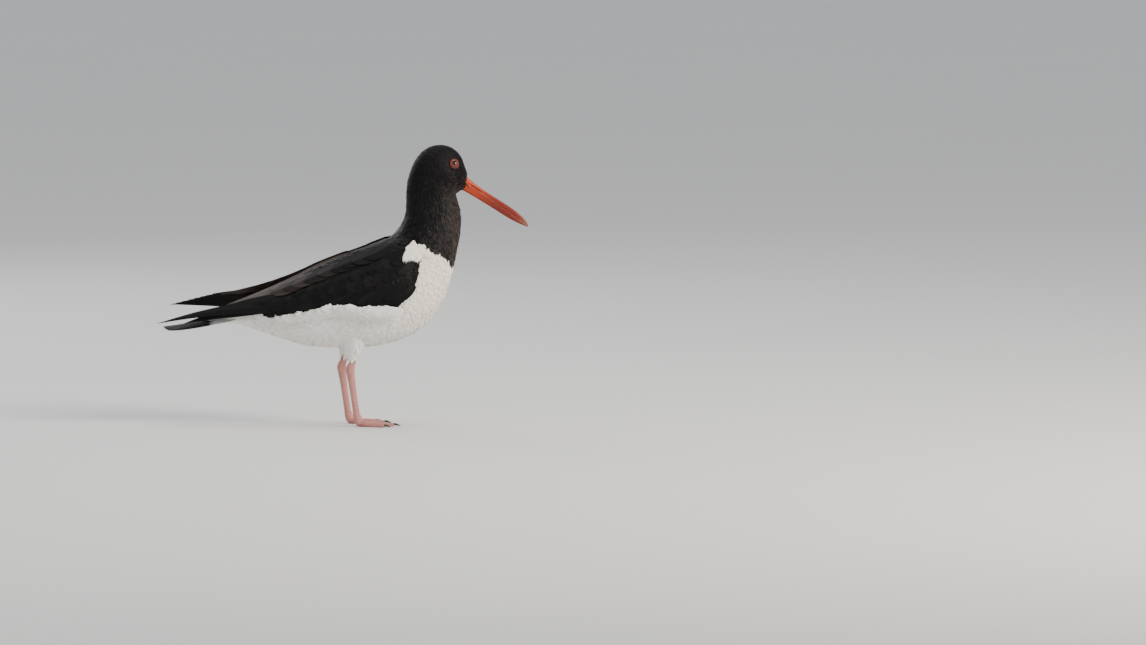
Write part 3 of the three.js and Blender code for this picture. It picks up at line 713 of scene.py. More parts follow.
# Feathers rooted on a grid of roots and leaning towards the tips. mark makes them all white or all black.
def coatPatch(
        name, roots, tips, normals, length, width, spot, cover, wear, family, spacing, seed,
        unrest=growth["unrest"], mark=None):
    rows, columns = roots.shape[:2]
    shape = Shape()
    inside = whiteness(tips) if mark is None else np.full((rows, columns), mark)
    flat = lambda item: np.broadcast_to(item, (rows, columns)).reshape(-1)
    shape.add(
        roots, openGrid(rows, columns),
        cover=flat(cover), inside=flat(inside), wear=flat(wear),
        long=flat(length) * mm, wide=flat(width) * mm,
        lean=unit(tips - roots).reshape(-1, 3), outward=normals.reshape(-1, 3), spot=spot.reshape(-1, 3),
    )
    patch = shape.piece(name, None, outward=False)
    gap = spacing * mm
    grown(patch, {
        "Feathers": families[family], "Finish": bodyPlumage, "Spacing": gap,
        "Density": growth["crowding"] / gap**2, "Unrest": math.radians(unrest), "Seed": seed,
        "Patch": growth["bakePatch"],
    })
    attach(patch, "root")
    print(name, "has", sum(len(polygon.vertices) - 2 for polygon in patch.data.polygons), "triangles")
    return patch


# Where feathers rooted at these places end, along the trunk's own lines towards the tail
def leaningTips(along, turn, length, lift):
    stretch = trunkStretch(along, turn)
    reached = np.maximum(along - length / stretch, 0.0)
    back = unit(onTrunk(reached, turn) - onTrunk(reached + trunkSteps["stretch"], turn))
    left = np.maximum(length / stretch - along, 0.0) * stretch
    return offTrunk(reached, turn, lift) + back * left[..., None]


# A feather's place on the bake map
def spotAt(across, up):
    return np.stack([across, up, np.zeros(across.shape)], -1)


tracts = {
    # cuts, degrees round, feather, spacing, seed
    "coat_undertail": ((0.1, 4.0), (-90, 270), "soft", 2.5, 11),
    "coat_belly": ((4.0, 9.6), (-90, 40), "soft", 2.5, 12),
    "coat_belly_left": ((4.0, 9.6), (140, 270), "soft", 2.5, 13),
    "coat_back": ((4.0, 9.6), (40, 140), "firm", 2.6, 14),
    "coat_breast": ((9.6, 12.2), (-90, 270), "soft", 2.0, 15),
    "coat_neck": ((12.2, 15.5), (-90, 270), "fine", 1.5, 16),
    "coat_head": ((15.5, 22.95), (-90, 270), "fine", 1.05, 17),
}
tractCut = {
    "degrees": 3, "perCut": 12, "tipLift": 0.15, "wear": 0.08,
    # throat: painted sunlight. The lit front of the throat is browned through the wear value, most at the
    # front and low down, and less higher up
    "throat": {"x": [84, 108], "wear": [0, 0.42], "z": [220, 242], "fade": [1, 0.1]},
}


def makeTract(name):
    cuts, turns, family, spacing, seed = tracts[name]
    rows = int((cuts[1] - cuts[0]) * tractCut["perCut"]) + 2
    columns = int((turns[1] - turns[0]) / tractCut["degrees"]) + 1
    along, turn = np.meshgrid(np.linspace(*cuts, rows), np.linspace(*turns, columns), indexing="ij")
    roots = offTrunk(along, turn, -coatMeasure("depth", along))
    tips = leaningTips(along, turn, coatMeasure("length", along), np.full(along.shape, tractCut["tipLift"]))
    cover = np.ones(along.shape)
    for side in (1, -1):  # the skin round each eye stays bare
        middle = eyeFrame(side)[1]
        for share in (0.0, 0.5, 1.0):
            away = np.linalg.norm(roots + (tips - roots) * share - middle, axis=-1)
            cover = np.where(away < eye["opening"] + eye["bare"], 0.0, cover)
    # Painted sunlight: the lit front of the throat is turned brown by adding to the wear value
    throat = tractCut["throat"]
    brown = np.interp(roots[..., 0], throat["x"], throat["wear"])
    brown = brown * np.interp(roots[..., 2], throat["z"], throat["fade"])
    spot = spotAt(along / lastCut * 0.98 + 0.01, (turn + 90) / 360 * 0.98 + 0.01)
    return coatPatch(
        name, roots, tips, trunkNormal(along, turn), np.linalg.norm(tips - roots, axis=-1),
        coatMeasure("width", along), spot, cover, tractCut["wear"] + brown, family, spacing, seed)


for tractName in tracts:
    piece = makeTract(tractName)
print("body coat made")


thighCoat = {
    "share": (0.02, 0.62, 20), "lean": 8, "flare": (0.6, -0.2), "length": 8.5, "width": (5.5, 3.2),
    "wear": 0.1, "spacing": 1.8, "seed": 30,
}


def makeThighCoat(name):
    cut, side = thighCoat, sides[name]
    share, turn = np.meshgrid(np.linspace(*cut["share"]), np.linspace(0, 360, 37), indexing="ij")
    radius = np.interp(share, thigh["share"], thigh["radius"])
    axis = unit(thighAt(name, np.array(1.0)) - thighAt(name, np.array(0.0)))
    forward = unit(np.cross([0.0, 1.0, 0.0], axis))
    sideways = np.cross(axis, forward)
    angle = np.radians(turn)[..., None]
    normals = forward * np.cos(angle) + sideways * np.sin(angle)
    roots = thighAt(name, share) + normals * (radius - thigh["depth"])[..., None]
    tips = roots + axis * cut["lean"] + normals * np.interp(share, [0, 0.6], cut["flare"])[..., None]
    piece = coatPatch(
        f"coat_thigh_{name}", roots, tips, normals, cut["length"], np.interp(share, [0, 0.6], cut["width"]),
        spotAt(share, turn / 380), 1.0, cut["wear"], "soft", cut["spacing"], cut["seed"] + side, mark=5.0)


for name in sides:
    makeThighCoat(name)
print("thighs made")


# Vanes: long feathers lofted one by one, each with a raised shaft
vaneCut = {
    "columns": 9, "rows": 32, "bodyRows": 14, "crowding": 1.4,
    "thickness": 0.35, "cup": 0.12, "rootSunk": 2.6,
    "shaft": 0.3, "shaftWidth": 0.12, "shaftFade": 0.7, "ragged": 0.1,
    "rootWidth": 0.55, "widening": 0.35, "tipFrom": {"round": 0.62, "pointed": 0.42}, "pointWidth": 0.04,
    "edgeFrom": 0.75, "edgeWear": 0.7, "cellMargin": 0.04, "sharp": 40,
}


# Places along a vane, closer together at the tip
def vaneShares(rows):
    return 1 - (1 - np.linspace(0, 1, rows)) ** vaneCut["crowding"]


# Half the vane's width along its length, as a share of its widest
def widthProfile(share, tip):
    rootWidth, start = vaneCut["rootWidth"], vaneCut["tipFrom"][tip]
    opening = rootWidth + (1 - rootWidth) * np.clip(share / vaneCut["widening"], 0, 1) ** 0.7
    past = np.clip((share - start) / (1 - start), 0, 1)
    if tip == "pointed":
        return opening * ((1 - past**1.7) * (1 - vaneCut["pointWidth"]) + vaneCut["pointWidth"])
    return opening * np.sqrt(1 - past**2 * 0.9985)


# Vanes gathered in one piece. Each has its own cell of the bake map.
class Vanes(Shape):
    def __init__(self, expected):
        super().__init__()
        self.across = math.ceil(math.sqrt(expected))
        self.laid = 0

    def vane(self, centres, ups, half, tip, tone, wear, mark=0.0):
        rows, columns, thick = len(centres), vaneCut["columns"], vaneCut["thickness"]
        share = vaneShares(rows)
        width = half * widthProfile(share, tip)
        heading = unit(np.gradient(centres, axis=0))
        across = unit(np.cross(heading, ups))
        rise = np.cross(across, heading)
        s = np.linspace(-1, 1, columns)
        ridge = vaneCut["shaft"] * np.exp(-((s / vaneCut["shaftWidth"]) ** 2))
        ridge = ridge * (1 - vaneCut["shaftFade"] * share[:, None])
        sag = vaneCut["cup"] * np.abs(s) * width[:, None]
        top = ridge + thick / 2 * (1 - s**2) - sag
        low = -thick / 2 * (1 - s**2) - sag
        fray = draw.uniform(-1, 1, columns) * vaneCut["ragged"] * share[:, None] ** 6 * half
        spread = across[:, None] * (s * width[:, None])[..., None]
        base = centres[:, None] + spread + heading[:, None] * fray[..., None]
        upper = base + rise[:, None] * top[..., None]
        lower = base + rise[:, None] * low[..., None]
        rings = np.concatenate([upper, lower[:, -2:0:-1]], 1)
        flat = np.stack(np.broadcast_arrays(share[:, None], 0.5 + s * 0.5), -1)
        vane = np.concatenate([flat, flat[:, -2:0:-1]], 1)
        cell, margin = 1 / self.across, vaneCut["cellMargin"]
        corner = np.array([self.laid % self.across, self.laid // self.across]) * cell
        underside = np.arange(rings.shape[1])[None, :] >= columns
        within = (1 - 2 * margin) * vane * [1, 0.46] + underside[..., None] * [0, 0.48]
        bake = corner + cell * (margin + within)
        values, worn = (
            np.broadcast_to(np.asarray(item, float), rows)[:, None] + np.zeros(rings.shape[:2])
            for item in (mark, wear))
        edge = np.clip(np.abs(vane[..., 1] - 0.5) * 2 - vaneCut["edgeFrom"], 0, 1)
        worn = worn + vaneCut["edgeWear"] * edge * (0.3 + worn) * (1 - values)
        self.loft(rings, vane=vane, OFBake=bake, mark=values, wear=worn, tone=np.full(rings.shape[:2], tone))
        self.laid += 1


# A vane lying on the trunk from start to end, each given as cut, turn and lift
def bodyVane(vanes, start, end, half, side, tip, wear):
    share = vaneShares(vaneCut["bodyRows"])[:, None]
    place = start + (end - start) * share
    place[:, 2] -= vaneCut["rootSunk"] * np.clip(1 - share[:, 0] / 0.2, 0, 1)
    turn = sided(place[:, 1], side)
    centres = offTrunk(place[:, 0], turn, place[:, 2])
    vanes.vane(centres, trunkNormal(place[:, 0], turn), half, tip, draw.uniform(0, 1), wear)


# A vane that leaves the trunk, on a curve from root to end that middle pulls at
def bezierVane(vanes, root, middle, end, upRoot, upTip, half, tip, wear, mark=0.0):
    share = vaneShares(vaneCut["rows"])[:, None]
    centres = root * (1 - share) ** 2 + middle * 2 * share * (1 - share) + end * share**2
    ups = unit(upRoot * (1 - share) + upTip * share)
    vanes.vane(centres, ups, half, tip, draw.uniform(0, 1), wear, mark)


# Wings, on the same patch of the trunk as in the solids
wing = {
    "low": -17, "lowMiddle": 3, "lowRear": 18, "high": 78,
    "climbEnd": 0.45, "climbPower": 1.5, "rearFrom": 0.85, "rearSpan": 0.15,
    "rear": 2.1, "bend": 10.55, "middleFront": 8, "lowFront": 7.7, "highFront": 8.3,
    "bulgeEnd": 0.84, "bulgePower": 0.75,
    "lift": 1.2, "thickness": 6.5, "lowRound": 6, "highRound": 5, "frontRound": 4,
    "depth": 1.6, "inside": -2.0, "tertialRoom": 3.2, "tertialsFrom": (0.5, 0.22), "tertialsSoft": 0.15,
    "tip": {"right": (-175.7, 97.4), "left": (-165, 114.2)},
}


# The lower edge climbs from the bend, runs level and climbs again at the rear
def lowerEdge(back):
    climb = np.sin(np.pi / 2 * np.clip(back / wing["climbEnd"], 0, 1)) ** wing["climbPower"]
    rearClimb = np.maximum(0, (back - wing["rearFrom"]) / wing["rearSpan"]) ** 2
    return mixed(wing["low"], wing["lowMiddle"], climb) + (wing["lowRear"] - wing["lowMiddle"]) * rearClimb


def wingFront(up):
    bulge = np.sin(np.pi * np.clip(up / wing["bulgeEnd"], 0, 1)) ** wing["bulgePower"]
    return mixed(wing["lowFront"], wing["highFront"], up) + (wing["bend"] - wing["middleFront"]) * bulge


def wingLift(up, back):
    edge = np.minimum(np.minimum(1, wing["lowRound"] * up), wing["highRound"] * (1 - up))
    fullness = np.clip(wing["frontRound"] * back, 0, 1) ** 0.5 * np.clip(edge, 0, 1) ** 0.5
    return wing["lift"] + wing["thickness"] * fullness


# The cut, the turn and the lift of a place on the folded wing
def wingPlace(up, back):
    along, turn = mixed(wingFront(up), wing["rear"], back), mixed(lowerEdge(back), wing["high"], up)
    return along, turn, wingLift(up, back)


# How far the folded wing lifts what lies at this place of the trunk, and how many degrees over its edge it is
def overWing(along, turn):
    up = np.clip((turn - wing["lowMiddle"]) / (wing["high"] - wing["lowMiddle"]), 0, 1)
    for _ in range(4):
        front = wingFront(np.clip(up, 0, 1))
        back = (front - along) / (front - wing["rear"])
        low = lowerEdge(np.clip(back, 0, 1))
        up = (turn - low) / (wing["high"] - low)
    on = (up > 0) & (up < 1) & (back > 0) & (back < 1)
    return np.where(on, wingLift(np.clip(up, 0, 1), np.clip(back, 0, 1)), 0.0), turn - low


# 1 where the long tertials lie over the rear of the wing, and 0 in front of and below them
def underTertials(up, back):
    (backFrom, upFrom), soft = wing["tertialsFrom"], wing["tertialsSoft"]
    return np.clip((back - backFrom) / soft, 0, 1) * np.clip((up - upFrom) / soft, 0, 1)


def makeWingShell(name):
    side = sides[name]
    up, back = np.meshgrid(np.linspace(0, 1, 40), np.linspace(0, 1, 60), indexing="ij")
    along, turn, lift = wingPlace(up, back)
    room = wing["depth"] + wing["tertialRoom"] * underTertials(up, back)
    outer = offTrunk(along, sided(turn, side), lift - room)
    inner = offTrunk(along, sided(turn, side), np.full(lift.shape, wing["inside"]))
    shape = Shape()
    shape.loft(np.concatenate([outer, inner[:, ::-1]], 1), mark=0.0, tone=0.4, wear=0.2)
    shell = shape.piece(f"wing_skin_{name}", bodyPlumage)
    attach(shell, "root")
    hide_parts(f"wing_{name}")


# The wing's small feathers, against how far back on it they are
wingCoat = {
    "up": (0.01, 0.99, 46), "back": (0.0, 0.97, 70),
    "length": ([0, 0.25, 0.6, 1], [6, 9, 13, 15]), "width": ([0, 0.25, 1], [4.5, 6, 8]), "reach": 0.253,
    "tipRaised": 0.3, "wear": 0.03, "rearWear": 0.2, "spacing": 2.1, "seed": 40, "unrest": 5.0,
}


def makeWingCoat(name):
    cut, side = wingCoat, sides[name]
    up, back = np.meshgrid(np.linspace(*cut["up"]), np.linspace(*cut["back"]), indexing="ij")
    along, turn, lift = wingPlace(up, back)
    roots = offTrunk(along, sided(turn, side), lift - wing["depth"])
    length = np.interp(back, *cut["length"])
    twoCuts = np.linalg.norm(onTrunk(along - 1, turn) - onTrunk(along + 1, turn), axis=-1)
    nextBack = np.minimum(back + length * cut["reach"] / np.maximum(twoCuts, 1), 1.0)
    tipAlong, tipTurn, tipLift = wingPlace(up, nextBack)
    tips = offTrunk(tipAlong, sided(tipTurn, side), tipLift + cut["tipRaised"])
    tips = roots + unit(tips - roots + 1e-6) * length[..., None]
    cover = (underTertials(up, back) < 0.5) * 1.0
    piece = coatPatch(
        f"coat_wing_{name}", roots, tips, trunkNormal(along, sided(turn, side)), length,
        np.interp(back, *cut["width"]), spotAt(back * 0.96 + 0.01, up * 0.96 + 0.01), cover,
        cut["wear"] + cut["rearWear"] * up * back, "firm", cut["spacing"], cut["seed"] + side,
        unrest=cut["unrest"], mark=-5.0)


# The wing's long feathers. A pair holds the first and the last of a row. A root is a cut, a turn and a lift,
# and any other three numbers are a place in mm, with the distance outwards second. Rises are shares of how
# much higher this wing's tip is than the near one's.
wingQuills = {
    "expected": 110, "jitter": (0.06, 0.8, 0.12), "halfJitter": (0.94, 1.06), "wearPower": 1.5,
    "tiers": [
        # count, root and end at the front, root and end at the rear, half width, tip, wear at front and rear
        (13, (9.5, 33, 6.6), (8.5, 28, 8.4), (5.0, 33, 6.6), (4.0, 28, 8.4), 6.2, "round", 0.04, 0.06),
        (14, (9.6, 22, 6.4), (8.3, 15, 8.6), (4.8, 24, 6.4), (3.4, 21, 8.2), 6.6, "round", 0.04, 0.06),
        (14, (9.2, 12, 6.0), (7.5, -3, 7.4), (4.5, 16, 6.0), (2.7, 17, 7.8), 6.4, "round", 0.04, 0.08),
        (6, (9.2, -4, 4.8), (7.3, -9, 5.6), (7.4, -2, 4.8), (5.5, -2, 5.6), 4.2, "pointed", 0.05, 0.05),
        (9, (6.2, 8, 4.8), (4.3, 5, 5.8), (4.3, 10, 4.8), (2.3, 10, 5.9), 5.2, "round", 0.06, 0.10),
        (9, (9.0, 52, 6.4), (7.0, 46, 9.4), (5.0, 52, 6.4), (2.9, 44, 9.6), 8.6, "round", 0.08, 0.55),
        (8, (8.7, 66, 4.6), (6.8, 60, 7.6), (5.0, 66, 4.6), (2.8, 58, 7.8), 8.8, "round", 0.12, 0.60),
        (7, (8.4, 80, 1.4), (6.5, 74, 4.8), (5.2, 80, 1.4), (3.1, 72, 5.2), 8.6, "round", 0.14, 0.60),
    ],
    "primaries": {
        "count": 8, "root": ((4, 6, 4.6), (3.4, 20, 4.6)), "middle": ((-94, 25, 120), (-94, 18, 117.5)),
        "rises": (-0.12, 0.41), "endX": -124, "endOut": (11, 8), "endZ": 108, "endRise": 0.98,
        "half": (5.6, 6.2), "halfRise": 0.03, "lean": (14, 45), "wear": 0.1,
    },
    "hanging": {
        "count": 4, "root": (3.4, 13, 4.4), "rootStep": (0.4, 4, 0), "middle": (-104, 25, 112.5),
        "middleStep": (0, -1, 2), "end": (-150, 13, 97.8), "endStep": (6, 0, 1.2),
        "half": 5.2, "lean": (16, 40), "wear": 0.06,
    },
    "tertials": {
        "count": 6, "root": ((5.2, 36, 6.6), (6.2, 66, 4.4)), "middle": ((-76, 22, 125), (-42, 15, 138.5)),
        "rises": (0.12, 0.12), "end": ((-116, 9, 112), (-68, 7, 128)), "endRises": (0.75, 0.3),
        "half": (9, 10.5), "lean": (40, 66), "wear": 0.62,
    },
}


def partWay(pair, t):
    return mixed(*(np.array(item, float) for item in pair), t)


def layTiers(vanes, side):
    quills = wingQuills
    for count, frontRoot, frontEnd, rearRoot, rearEnd, half, tip, frontWear, rearWear in quills["tiers"]:
        for k in range(count):
            share = 1 - k / (count - 1)
            jitter = draw.uniform(-1, 1, 3) * quills["jitter"]
            start = partWay((frontRoot, rearRoot), share) + jitter
            end = partWay((frontEnd, rearEnd), share) + jitter
            wear = mixed(frontWear, rearWear, share ** quills["wearPower"])
            bodyVane(vanes, start, end, half * draw.uniform(*quills["halfJitter"]), side, tip, wear)


# Coverts and scapulars in tiers, then primaries, and tertials over them
def makeWingFeathers(name):
    side, out = sides[name], np.array([1, -sides[name], 1])
    vanes = Vanes(wingQuills["expected"])
    layTiers(vanes, side)
    tip = wing["tip"][name]
    rise = np.array([0, 0, tip[1] - wing["tip"]["right"][1]])

    def outwards(degrees):
        return np.array([0, -side * math.cos(math.radians(degrees)), math.sin(math.radians(degrees))])

    def lay(row, root, middle, end, half, shape):
        root = offTrunk(root[0], sided(root[1], side), root[2])
        upRoot, upTip = (outwards(degrees) for degrees in row["lean"])
        bezierVane(vanes, root, middle * out, end * out, upRoot, upTip, half, shape, row["wear"])

    row = wingQuills["primaries"]
    for t in np.linspace(0, 1, row["count"]):
        middle = partWay(row["middle"], t) + rise * partWay(row["rises"], t)
        lastZ = row["endZ"] + rise[2] * row["endRise"]
        end = partWay(((tip[0], row["endOut"][0], tip[1]), (row["endX"], row["endOut"][1], lastZ)), t)
        half = partWay(row["half"], t) + rise[2] * row["halfRise"]
        lay(row, partWay(row["root"], t), middle, end, half, "pointed")
    row = wingQuills["hanging"]
    for k in range(row["count"] if name == "right" else 0):  # the near wing hangs over the root of the tail
        root, middle, end = (
            np.array(row[item]) + np.array(row[item + "Step"]) * k for item in ("root", "middle", "end"))
        lay(row, root, middle, end, row["half"], "pointed")
    row = wingQuills["tertials"]
    for t in np.linspace(0, 1, row["count"]):
        middle = partWay(row["middle"], t) + rise * partWay(row["rises"], t)
        end = partWay(row["end"], t) + rise * partWay(row["endRises"], t)
        lay(row, partWay(row["root"], t), middle, end, partWay(row["half"], t), "round")
    piece = vanes.piece(f"wing_feathers_{name}", quillPlumage, sharp=vaneCut["sharp"])
    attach(piece, "root")


for name in sides:
    makeWingShell(name)
    makeWingCoat(name)
    makeWingFeathers(name)
print("wings made")


# White feathers lie over the wing: the shoulder patch on its front, and the flank on its lower edge
overlap = {
    "shoulder": {"cuts": (7.8, 11.8), "turns": (2, 66), "length": 12, "width": 6, "rise": -8, "seed": 50},
    "flank": {"cuts": (2.4, 9.9), "turns": (-46, 20), "length": 14, "width": 7, "rise": 6, "seed": 60},
    "grid": (90, 60), "spacing": 1.6, "wear": 0.1, "sunk": -3.0, "raised": 1.0, "proud": 2.2,
    "bulge": 14, "rootLift": 8.2, "edgeLift": 9.8, "coatLift": 0.3,
    "shoulderLow": 156.5, "shoulderBack": 55, "shoulderFront": 86, "inWhite": 0.8, "rootInBlack": -9,
    "flankX": [-98, -88, -75, -64, -47, -36, -19, -3, 10, 30, 46],
    "flankZ": [109, 108, 102.5, 105.5, 108, 110, 115.5, 116.5, 115.5, 115, 111.5],
    "flankDepth": 15,
}


def overlapCover(kind, roots, tips):
    x, z = tips[..., 0], tips[..., 2]
    if kind == "shoulder":
        inPatch = (whiteness(tips) > overlap["inWhite"]) & (whiteness(roots) > overlap["rootInBlack"])
        inPatch = inPatch & (z > overlap["shoulderLow"])
        return inPatch & (x > overlap["shoulderBack"]) & (x < overlap["shoulderFront"])
    edge = np.interp(x, overlap["flankX"], overlap["flankZ"])
    return (z < edge) & (z > edge - overlap["flankDepth"]) & (x < overlap["flankX"][-1])


# Feathers rise out of the coat and over the wing's edge
def overlapLifts(kind, along, turn, tipAlong, tipTurn):
    (rootOver, rootBeyond), (tipOver, tipBeyond) = overWing(along, turn), overWing(tipAlong, tipTurn)
    if kind == "shoulder":
        rootLift = np.where(rootOver > 0, rootOver + overlap["raised"], overlap["sunk"])
        return rootLift, tipOver + overlap["proud"]
    rootNear, tipNear = (
        np.clip(item / overlap["bulge"] + 1, 0, 1) ** 1.5 for item in (rootBeyond, tipBeyond))
    tipLift = np.maximum(
        mixed(overlap["coatLift"], overlap["edgeLift"], tipNear), tipOver + overlap["raised"])
    return mixed(overlap["sunk"], overlap["rootLift"], rootNear), tipLift


def makeOverlap(kind, name):
    side, cut = sides[name], overlap[kind]
    cuts, turns = (np.linspace(*cut[item], count) for item, count in zip(("cuts", "turns"), overlap["grid"]))
    along, turn = np.meshgrid(cuts, turns, indexing="ij")
    tipAlong = np.maximum(along - cut["length"] / trunkStretch(along, turn), 0.0)
    tipTurn = turn + cut["rise"]
    rootLift, tipLift = overlapLifts(kind, along, turn, tipAlong, tipTurn)
    roots = offTrunk(along, sided(turn, side), rootLift)
    tips = offTrunk(tipAlong, sided(tipTurn, side), tipLift)
    piece = coatPatch(
        f"coat_{kind}_{name}", roots, tips, trunkNormal(along, sided(turn, side)),
        np.linalg.norm(tips - roots, axis=-1), cut["width"], spotAt(along / lastCut, (turn + 90) / 360),
        overlapCover(kind, roots, tips) * 1.0, overlap["wear"], "soft", overlap["spacing"],
        cut["seed"] + side, mark=5.0)


for name in sides:
    makeOverlap("shoulder", name)
    makeOverlap("flank", name)
print("shoulders and flanks made")


# The tail's feathers, spread from side to side. The inner ones lie highest and their black band is longest.
tail = {
    "feathers": 12, "root": (-84, 108.5), "rootHalf": 8, "rootArch": 1.5,
    "tip": (-170.5, 93), "tipHalf": 15.5, "tipArch": 2.4, "tipDrop": 1.6, "outerShorter": 5,
    "middleOut": 3, "sag": 1.5, "roll": 0.3, "half": 5.2, "wear": 0.02,
    "bandX": -125, "bandLonger": 10, "bandSoft": 4,
}


def makeTail():
    vanes = Vanes(tail["feathers"])
    (rootX, rootZ), (tipX, tipZ) = tail["root"], tail["tip"]
    for k in range(tail["feathers"]):
        spread = 2 * k / (tail["feathers"] - 1) - 1
        order = 1 - abs(spread)
        end = np.array([
            tipX + tail["outerShorter"] * spread**2, tail["tipHalf"] * spread,
            tipZ + tail["tipArch"] * order - tail["tipDrop"]])
        root = np.array([rootX, tail["rootHalf"] * spread, rootZ + tail["rootArch"] * (order - 1)])
        middle = (root + end) / 2 + [0, tail["middleOut"] * spread, -tail["sag"]]
        up = unit(np.array([0.1, tail["roll"] * spread, 1]))
        x = root[0] + (end[0] - root[0]) * vaneShares(vaneCut["rows"])
        white = (x - tail["bandX"] - tail["bandLonger"] * order) / tail["bandSoft"]
        mark = np.clip(white + 0.5, 0, 1)
        bezierVane(vanes, root, middle, end, up, up, tail["half"], "round", tail["wear"], mark)
    piece = vanes.piece("tail_feathers", quillPlumage, sharp=vaneCut["sharp"])
    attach(piece, "root")
    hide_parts("tail")


makeTail()
print("tail made")


# The bill, in places forward along it from the feathers' edge, up square to it, and sideways
bill = {
    "base": (114.2, 230.7), "tilt": 33.2, "length": 74, "root": 5,
    "at": [-5, 0, 8, 20, 38, 54, 65, 71, 74],
    "depth": [13.4, 13.4, 11.6, 10.2, 9.9, 9.6, 7.2, 4.2, 1.6],
    "width": [7.74, 8.6, 7.6, 6.2, 5.2, 4.6, 3.4, 2.4, 1.6],
    "sag": [0, 0, -0.2, -0.3, 0, 0.1, 0, -0.4, -1],
    "mouth": (1.1, -0.9), "gap": 0.15, "heightPower": 0.85, "sidePower": 0.7,
    "rings": 100, "tipRings": 50, "tipFrom": 60, "around": 44, "sharp": 60,
    "upperGroove": {"up": 1.9, "width": 0.8, "depth": 0.6, "end": 44},
    "lowerGroove": {"up": -2.4, "width": 0.9, "depth": 0.3, "end": 38},
    "grooveFades": (20, 5),
    "nostril": {"at": 13, "up": 2.2, "length": 12, "width": 0.38, "depth": 0.6, "fade": 1.2},
}


def onBill(forward, up, sideways):
    tilt = math.radians(bill["tilt"])
    given = (np.asarray(item, float) for item in (forward, up, sideways))
    forward, up, sideways = np.broadcast_arrays(*given)
    return np.stack([
        bill["base"][0] + forward * math.cos(tilt) + up * math.sin(tilt), sideways,
        bill["base"][1] - forward * math.sin(tilt) + up * math.cos(tilt)], -1)


def billFinish():
    look = {
        "orange": (0.42, 0.046, 0.008), "red": (0.19, 0.017, 0.007), "tip": (0.22, 0.062, 0.022),
        "pale": (0.62, 0.17, 0.08), "dark": (0.09, 0.012, 0.005),
        "redEdges": (0.12, 0.55), "tipEdges": (0.78, 1.0), "paleEdges": (0.3, 1.1), "paleShare": 0.7,
        "slitShadowShare": 0.75, "roughness": 0.34, "bump": 0.4, "bumpDepth": 0.00025,
    }
    made = Finish(
        "bill_horn", IOR=1.5, Specular_IOR_Level=0.35, Subsurface_Weight=0.05, Subsurface_Scale=0.001)
    reach, rise, slit = (made.attribute(item) for item in ("reach", "rise", "slit"))
    mottle = made.noise(260.0, 4.0)
    streaks = made.node("ShaderNodeTexNoise", None, {
        "Vector": made.node("ShaderNodeCombineXYZ", None, {"X": reach * 3.0, "Y": rise * 7.0}),
        "Scale": 3.0, "Detail": 4.0}, "Fac")
    redness = made.between(reach + (streaks - 0.5) * 0.35, *look["redEdges"])
    colour = made.blend(redness, look["orange"], look["red"])
    colour = made.blend(made.between(reach + (mottle - 0.5) * 0.08, *look["tipEdges"]), colour, look["tip"])
    paleness = made.between(rise - reach * 9.0 + (mottle - 0.5) * 0.5, *look["paleEdges"])
    colour = made.blend(paleness * look["paleShare"], colour, look["pale"])
    # The nostril slit is darkened: painted shadow in its groove
    colour = made.blend(slit * look["slitShadowShare"], colour, look["dark"])
    made.feed("Base Color", colour)
    made.feed("Roughness", look["roughness"] + (mottle - 0.5) * 0.25 + (streaks - 0.5) * 0.15)
    made.bump(streaks * 0.8 + mottle * 0.4, look["bump"], look["bumpDepth"])
    return made.material


billHorn = billFinish()


def makeMandible(name, upper):
    forward = np.concatenate([
        np.linspace(-bill["root"], bill["tipFrom"], bill["rings"]),
        np.linspace(bill["tipFrom"] + 0.5, bill["length"], bill["tipRings"])])
    depth, width, sag = (smoothAt(forward, bill["at"], bill[item]) for item in ("depth", "width", "sag"))
    mouth = mixed(*bill["mouth"], (forward + bill["root"]) / (bill["length"] + bill["root"]))
    edge = mouth + (bill["gap"] if upper else -bill["gap"])
    level = np.clip((edge - sag) / (depth / 2), -0.98, 0.98)
    first = np.arcsin(np.sign(level) * np.abs(level) ** (1 / bill["heightPower"]))[:, None]
    share = np.linspace(0, 1, bill["around"])[None, :]
    if upper:
        turn = first + (np.pi - 2 * first) * share
    else:
        turn = np.pi - first + (np.pi + 2 * first) * share
    cosine, sine = np.cos(turn), np.sin(turn)
    up = (depth / 2)[:, None] * np.sign(sine) * np.abs(sine) ** bill["heightPower"] + sag[:, None]
    side = (width / 2)[:, None] * np.sign(cosine) * np.abs(cosine) ** bill["sidePower"]
    along = forward[:, None] + np.zeros_like(up)
    groove, nostril = bill["upperGroove" if upper else "lowerGroove"], bill["nostril"]
    endFade, startFade = bill["grooveFades"]
    fade = np.clip((groove["end"] - along) / endFade, 0, 1) * np.clip((along - 1) / startFade, 0, 1)
    sunk = groove["depth"] * fade * np.exp(-(((up - groove["up"]) / groove["width"]) ** 2))
    slit = np.zeros_like(up)
    if upper:
        slit = np.exp(-(((up - nostril["up"]) / nostril["width"]) ** 2)) * np.clip(
            (nostril["length"] / 2 - np.abs(along - nostril["at"])) / nostril["fade"], 0, 1)
    side = side - np.sign(side) * np.minimum(sunk + slit * nostril["depth"], np.abs(side) * 0.8)
    rise = np.abs(up - mouth[:, None]) / (depth / 2)[:, None] * (1 if upper else -1)
    shape = Shape()
    # slit shapes the nostril groove and also darkens it in the finish: painted shadow
    shape.loft(
        onBill(along, up, side), reach=along / bill["length"], rise=rise, slit=np.clip(slit * 1.3, 0, 1))
    piece = shape.piece(name, billHorn, sharp=bill["sharp"])
    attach(piece, "root")
    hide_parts(name)


makeMandible("bill_upper", True)
makeMandible("bill_lower", False)


# The soft orange edge at the corner of the mouth, on each side
gape = {
    "line": [(9, 0.6, 3.7), (5.5, 1.0, 4.2), (2, 2.1, 5.1), (-1.6, 3.4, 6.5)],
    "share": [0, 0.35, 0.8, 1], "radius": [0.2, 0.75, 0.85, 0.3], "rings": 24, "around": 14,
}


